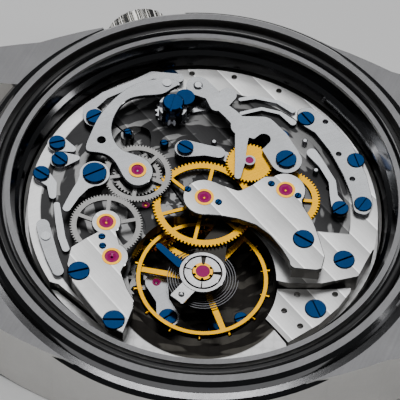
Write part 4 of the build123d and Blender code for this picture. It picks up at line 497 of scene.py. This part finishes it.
# Painted shade on the barrel and train bridges where they lie deep under the levers.
barrel_bridge_shade = {"where": {"Reach": 12.9 * MM, "Line": -1.6 * MM}, "patches": 900.0,
        "dark": rgb(0.035, 0.035, 0.036), "light": rgb(0.20, 0.20, 0.20)}
striped_nickel_painted_shade = metal("striped_nickel_painted_shade", NICKEL, NICKEL_WALL_SHADE, 0.30, stripes=0.5, turn=STRIPE_TURN,
                    fineness=12000.0, deep=barrel_bridge_shade)
train_bridge_shade = dict(barrel_bridge_shade, where={"Reach": 14.2 * MM, "Line": -20 * MM}, light=rgb(0.26, 0.26, 0.26))
grained_nickel_painted_shade = metal("grained_nickel_with_painted_shade", NICKEL, NICKEL_WALL_SHADE, 0.32, turn=LEVER_TURN, deep=train_bridge_shade)
faint_stripes = metal("faint_stripes", NICKEL, NICKEL_WALL_SHADE, 0.32, stripes=0.28, turn=STRIPE_TURN)
# Painted shade on the plate in the well under the balance.
balance_well_shade = {"where": {"Centre": BALANCE_AT, "Reach": 7.7 * MM, "Level": 3.3 * MM},
                "patches": 800.0, "dark": rgb(0.012, 0.011, 0.010), "light": rgb(0.045, 0.042, 0.037)}
pearled = metal("pearled_nickel", rgb(0.60, 0.60, 0.60), NICKEL_WALL_SHADE, 0.34, grain="pearls",
                strength=0.5, deep=balance_well_shade)

# %% [markdown]
# Levers, springs and steel wheels are hardened steel with a fine straight grain on top.

# %% Steel
lever_steel = metal("grained_steel", STEEL, STEEL_WALL_SHADE, 0.27, turn=LEVER_TURN, fineness=14000.0)
mirror_steel = metal("mirror_steel", STEEL, rgb(0.22, 0.22, 0.24), 0.12, strength=0.05, wear=0.06)
# Black-polished steel: its near-black colour is painted shade and dark reflection, not the steel's own
# tone.
dark_steel = metal("polished_steel_painted_dark", rgb(0.030, 0.028, 0.025), rgb(0.008, 0.008, 0.008), 0.22,
                   turn=LEVER_TURN)
regulator_steel = metal("regulator_steel", rgb(0.50, 0.50, 0.51), rgb(0.03, 0.03, 0.03), 0.24,
                        grain="rings", centre=BALANCE_AT, wear=0.3)
spring_steel = metal("spring_steel", rgb(0.40, 0.41, 0.425), rgb(0.14, 0.14, 0.155), 0.18)
fine_wire = metal("fine_wire", rgb(0.16, 0.16, 0.17), rgb(0.08, 0.08, 0.085), 0.25)
wheel_steel = metal("wheel_steel", rgb(0.25, 0.247, 0.243), rgb(0.05, 0.05, 0.05), 0.25)
gilt = metal("gilded_brass", GOLD, GOLD_WALL_SHADE, 0.24, turn=LEVER_TURN, strength=0.15)
gold = metal("polished_gold", rgb(0.78, 0.37, 0.01), rgb(0.20, 0.07, 0.0), 0.10, strength=0.05)
blued = metal("blued_steel", rgb(0.003, 0.026, 0.085), rgb(0.001, 0.005, 0.016), 0.16,
              bevel_roughness=0.08, strength=0.08, wear=0.2)

# %% Case, crown and rubber
# On the case the tops are darker and the walls lighter: painted shade and painted light on one brushed
# steel.
case_steel = metal("brushed_case", rgb(0.17, 0.17, 0.175), rgb(0.55, 0.54, 0.52), 0.30,
                   turn=math.radians(20), fineness=5000.0, strength=0.4)
crown_steel = metal("crown_steel", rgb(0.66, 0.65, 0.62), rgb(0.55, 0.54, 0.52), 0.16)

rubber = metal("seal_rubber", rgb(0.010, 0.010, 0.011), rgb(0.010, 0.010, 0.011), 0.45,
               metallic=0.0)


def ruby_finish():
    """Polished synthetic ruby: magenta red, with faint clouds."""
    material = bpy.data.materials.new("ruby")
    material.use_nodes = True
    tree = material.node_tree
    shader = tree.nodes["Principled BSDF"]
    place = put(tree, "TexCoord").outputs["Object"]
    worn = use_group(tree, WEAR, Vector=place, Colour=rgb(0.40, 0.008, 0.15), Roughness=0.06,
                     Amount=0.3)
    wire(tree, worn.outputs["Colour"], shader.inputs["Base Color"])
    wire(tree, worn.outputs["Roughness"], shader.inputs["Roughness"])
    shader.inputs["Specular IOR Level"].default_value = 0.12
    return material


ruby = ruby_finish()
print("finishes:", len(bpy.data.materials))

# %% Which piece wears which finish
WEARS = {
    case_steel: ["case_middle"],
    crown_steel: ["winding_crown"],
    rubber: ["case_gasket", "crown_gasket"],
    mirror_steel: ["crown_tube", "winding_stem", "winding_pinion", "sliding_pinion", "column_wheel",
                   "steel_pins", "balance_staff", "crown_wheel_core", "cannon_pinion"],
    lever_steel: ["setting_lever", "yoke", "setting_bridge", "coupling_lever", "operating_lever",
                  "reset_hammer", "brake_lever", "intermediate_cock", "recorder_plate", "regulator",
                  "pallet_bridge", "click"],
    # The balance cock's near-black colour is painted shade and dark reflection.
    dark_steel: ["balance_cock"],
    spring_steel: ["lever_springs", "mainspring"],
    fine_wire: ["hairspring"],
    striped: ["lower_bridge", "chronograph_bridge"],
    striped_nickel_painted_shade: ["barrel_bridge"],
    grained_nickel_painted_shade: ["train_bridge"],
    faint_stripes: ["upper_train_bridge"],
    pearled: ["mainplate"],
    wheel_steel: ["ratchet_wheel", "crown_wheel", "escape_wheel", "pallet_fork", "driving_wheel",
                  "coupling_wheel"],
    gilt: ["balance_wheel", "timing_screws", "barrel_drum", "centre_wheel", "third_wheel",
           "fourth_wheel", "minute_wheel", "hour_wheel", "chronograph_wheel", "intermediate_wheel",
           "minute_recorder_wheel"],
    gold: ["gold_chatons", "coupling_chaton"],
    blued: ["large_screws", "lever_screws", "small_screws", "hairspring_stud"],
    ruby: ["jewels", "coupling_jewel"],
}
for material, names in WEARS.items():
    for name in names:
        slots = nodes[name].data.materials
        slots.clear()
        slots.append(material)
left = sorted(set(nodes) - {n for names in WEARS.values() for n in names})
print("pieces without a finish:", left)

# %% [markdown]
# ## Finer pieces
#
# The frame's hairspring is drawn coarse so that its turns stay apart in the checks. The real one is
# wound much finer, so it is wound anew here: a flat wire spun in half turns, each round a centre a
# little beside the last, so that the radius grows. A curve object could carry the wire too, but the
# spun mesh keeps an exact flat section.

# %% Shared steps for new meshes
def add_piece(name, mesh, finish, body, node):
    """Turns a mesh under construction into an object that moves with a body and replaces a node."""
    bmesh.ops.recalc_face_normals(mesh, faces=mesh.faces)
    data = bpy.data.meshes.new(name)
    mesh.to_mesh(data)
    mesh.free()
    piece = bpy.data.objects.new(name, data)
    bpy.context.scene.collection.objects.link(piece)
    data.materials.append(finish)
    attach(piece, body)
    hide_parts(node)
    print(name, len(data.polygons), "faces")
    return piece


def section(mesh, inner, outer, low, high, centre, corner=0.0):
    """An upright rectangle beside a centre, ready to be spun. Its four corners can be cut off."""
    width, height = outer - inner, high - low
    place = Matrix.Translation(centre + Vector(((inner + outer) / 2, 0, (low + high) / 2)))
    stand = Matrix.Rotation(math.radians(90), 4, "X")
    made = bmesh.ops.create_grid(mesh, x_segments=1, y_segments=1, size=0.5,
                                 matrix=place @ stand @ Matrix.Diagonal((width, height, 1, 1)))
    if corner:
        bmesh.ops.bevel(mesh, geom=made["verts"], offset=corner, affect="VERTICES", segments=1,
                        profile=0.5, material=-1)
    return mesh.verts[:] + mesh.edges[:] + mesh.faces[:]


def turn_about(mesh, geometry, centre, angle):
    bmesh.ops.rotate(mesh, verts=[g for g in geometry if isinstance(g, bmesh.types.BMVert)],
                     cent=centre, matrix=Matrix.Rotation(angle, 3, "Z"))


# %% The hairspring
SPRING_INNER = 0.85 * MM
SPRING_PITCH = 0.22 * MM
SPRING_TURNS = 10
SPRING_WIRE = 0.045 * MM
SPRING_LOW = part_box("hairspring")[0].z + 0.01 * MM
SPRING_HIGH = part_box("hairspring")[1].z - 0.01 * MM
UPRIGHT = Vector((0, 0, 1))
balance_axis = Vector((BALANCE_AT.x, BALANCE_AT.y, 0))

wire_mesh = bmesh.new()
wound = section(wire_mesh, SPRING_INNER, SPRING_INNER + SPRING_WIRE, SPRING_LOW, SPRING_HIGH,
                balance_axis)
for half in range(2 * SPRING_TURNS):
    shift = SPRING_PITCH / 4 * (1 if half % 2 else -1)
    step = bmesh.ops.spin(wire_mesh, geom=wound, cent=balance_axis + Vector((shift, 0, 0)),
                          axis=UPRIGHT, angle=math.pi, steps=22, use_duplicate=False)
    wound = step["geom_last"]
add_piece("fine_hairspring", wire_mesh, fine_wire, "movement", "hairspring")

# %% [markdown]
# The regulator is a polished ring with a groove, an inner ring cut in four by notches, and a square
# tab that carries the curb pin. The tab's thickness is the frame's, whose box is taller by the pin's
# head. Spun sections give round parts that are true and bevelled at once. Flat cylinders cut by
# booleans could do the same, but would need more steps and leave uneven edges.

# %% The regulator
REGULATOR_R = 2.0 * MM
RING_IN = 1.66 * MM
SEGMENT_OUT = 1.56 * MM
SEGMENT_IN = 0.90 * MM
REGULATOR_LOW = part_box("regulator")[0].z
REGULATOR_THICK = 0.26 * MM
REGULATOR_TOP = REGULATOR_LOW + REGULATOR_THICK
GROOVE_FLOOR = REGULATOR_LOW + 0.08 * MM
EDGE = 0.035 * MM
ring_mesh = bmesh.new()
shape = section(ring_mesh, RING_IN, REGULATOR_R, REGULATOR_LOW, REGULATOR_TOP, balance_axis, EDGE)
bmesh.ops.delete(ring_mesh, geom=ring_mesh.faces[:], context="FACES_ONLY")
bmesh.ops.spin(ring_mesh, geom=ring_mesh.verts[:] + ring_mesh.edges[:], cent=balance_axis,
               axis=UPRIGHT, angle=2 * math.pi, steps=72, use_merge=True, use_duplicate=False)
add_piece("regulator_ring", ring_mesh, regulator_steel, "regulator", "regulator")

# The groove's floor is steel painted near black, as shade in the groove.
floor_ring = bmesh.new()
section(floor_ring, SEGMENT_IN, RING_IN + EDGE, REGULATOR_LOW, GROOVE_FLOOR, balance_axis)
bmesh.ops.delete(floor_ring, geom=floor_ring.faces[:], context="FACES_ONLY")
bmesh.ops.spin(floor_ring, geom=floor_ring.verts[:] + floor_ring.edges[:], cent=balance_axis,
               axis=UPRIGHT, angle=2 * math.pi, steps=72, use_merge=True, use_duplicate=False)
add_piece("regulator_floor", floor_ring, dark_steel, "regulator", "regulator")

SEGMENTS_DEG = [(7, 82), (99, 166), (172, 267), (272, 353)]
for number, (first, last) in enumerate(SEGMENTS_DEG):
    part = bmesh.new()
    shape = section(part, SEGMENT_IN, SEGMENT_OUT, GROOVE_FLOOR, REGULATOR_TOP, balance_axis, EDGE)
    turn_about(part, shape, balance_axis, math.radians(first))
    bmesh.ops.spin(part, geom=part.verts[:] + part.edges[:] + part.faces[:], cent=balance_axis,
                   axis=UPRIGHT, angle=math.radians(last - first), steps=24, use_duplicate=False)
    add_piece("regulator_segment_%d" % (number + 1), part, regulator_steel, "regulator", "regulator")

# %% The regulator's tab and pin
TAB_TURN = math.radians(235)
TAB_END = 3.55 * MM
TAB_HALF = 0.70 * MM
TAB_CORNER = 0.22 * MM
TAB_PIN_AT = 2.85 * MM
TAB_PIN_R = 0.26 * MM
tab_mesh = bmesh.new()
tab_length = TAB_END - RING_IN - 2 * EDGE
middle = balance_axis + Vector((RING_IN + 2 * EDGE + tab_length / 2, 0, REGULATOR_LOW + EDGE))
tab_size = Matrix.Diagonal((tab_length, 2 * TAB_HALF, 1, 1))
bmesh.ops.create_grid(tab_mesh, x_segments=1, y_segments=1, size=0.5,
                      matrix=Matrix.Translation(middle) @ tab_size)
far = [v for v in tab_mesh.verts if v.co.x > middle.x]
bmesh.ops.bevel(tab_mesh, geom=far, offset=TAB_CORNER, affect="VERTICES", segments=4, profile=0.5,
                material=-1)
grown = bmesh.ops.extrude_face_region(tab_mesh, geom=tab_mesh.faces[:])
raised = [g for g in grown["geom"] if isinstance(g, bmesh.types.BMVert)]
tab_height = REGULATOR_TOP - REGULATOR_LOW - 2 * EDGE
bmesh.ops.translate(tab_mesh, verts=raised, vec=(0, 0, tab_height))
upper = [e for e in tab_mesh.edges if all(v.co.z > middle.z + tab_height / 2 for v in e.verts)]
bmesh.ops.bevel(tab_mesh, geom=upper, offset=EDGE, affect="EDGES", segments=2, profile=0.5,
                material=-1)
turn_about(tab_mesh, tab_mesh.verts[:], balance_axis, TAB_TURN)
add_piece("regulator_tab", tab_mesh, regulator_steel, "regulator", "regulator")

pin_mesh = bmesh.new()
pin_axis = balance_axis + Vector((math.cos(TAB_TURN), math.sin(TAB_TURN), 0)) * TAB_PIN_AT
pin_top = REGULATOR_TOP + 0.10 * MM
outline = [pin_mesh.verts.new(pin_axis + Vector((radius, 0, height))) for radius, height in (
    (0, REGULATOR_TOP - 2 * EDGE), (TAB_PIN_R, REGULATOR_TOP - 2 * EDGE),
    (TAB_PIN_R, REGULATOR_TOP + 0.01 * MM), (TAB_PIN_R * 0.62, REGULATOR_TOP - 0.02 * MM),
    (TAB_PIN_R * 0.55, pin_top - EDGE), (TAB_PIN_R * 0.35, pin_top), (0, pin_top))]
for a, b in zip(outline, outline[1:]):
    pin_mesh.edges.new((a, b))
bmesh.ops.spin(pin_mesh, geom=pin_mesh.verts[:] + pin_mesh.edges[:], cent=pin_axis, axis=UPRIGHT,
               angle=2 * math.pi, steps=24, use_merge=True, use_duplicate=False)
bmesh.ops.remove_doubles(pin_mesh, verts=pin_mesh.verts[:], dist=1e-7)
add_piece("curb_pin", pin_mesh, regulator_steel, "regulator", "regulator")

# %% [markdown]
# ## The table
#
# The object lies on a plain pale surface, which is one large face.

# %% The floor
floor_mesh = bmesh.new()
bmesh.ops.create_grid(floor_mesh, x_segments=1, y_segments=1, size=1.5)
bmesh.ops.translate(floor_mesh, verts=floor_mesh.verts, vec=(0, 0, frame_box[0].z))
floor_data = bpy.data.meshes.new("floor")
floor_mesh.to_mesh(floor_data)
floor_mesh.free()
floor = bpy.data.objects.new("floor", floor_data)
bpy.context.scene.collection.objects.link(floor)
paper = bpy.data.materials.new("pale_paper")
paper.use_nodes = True
paper.node_tree.nodes["Principled BSDF"].inputs["Base Color"].default_value = rgb(0.88, 0.88, 0.88)
paper.node_tree.nodes["Principled BSDF"].inputs["Roughness"].default_value = 0.8
floor_data.materials.append(paper)
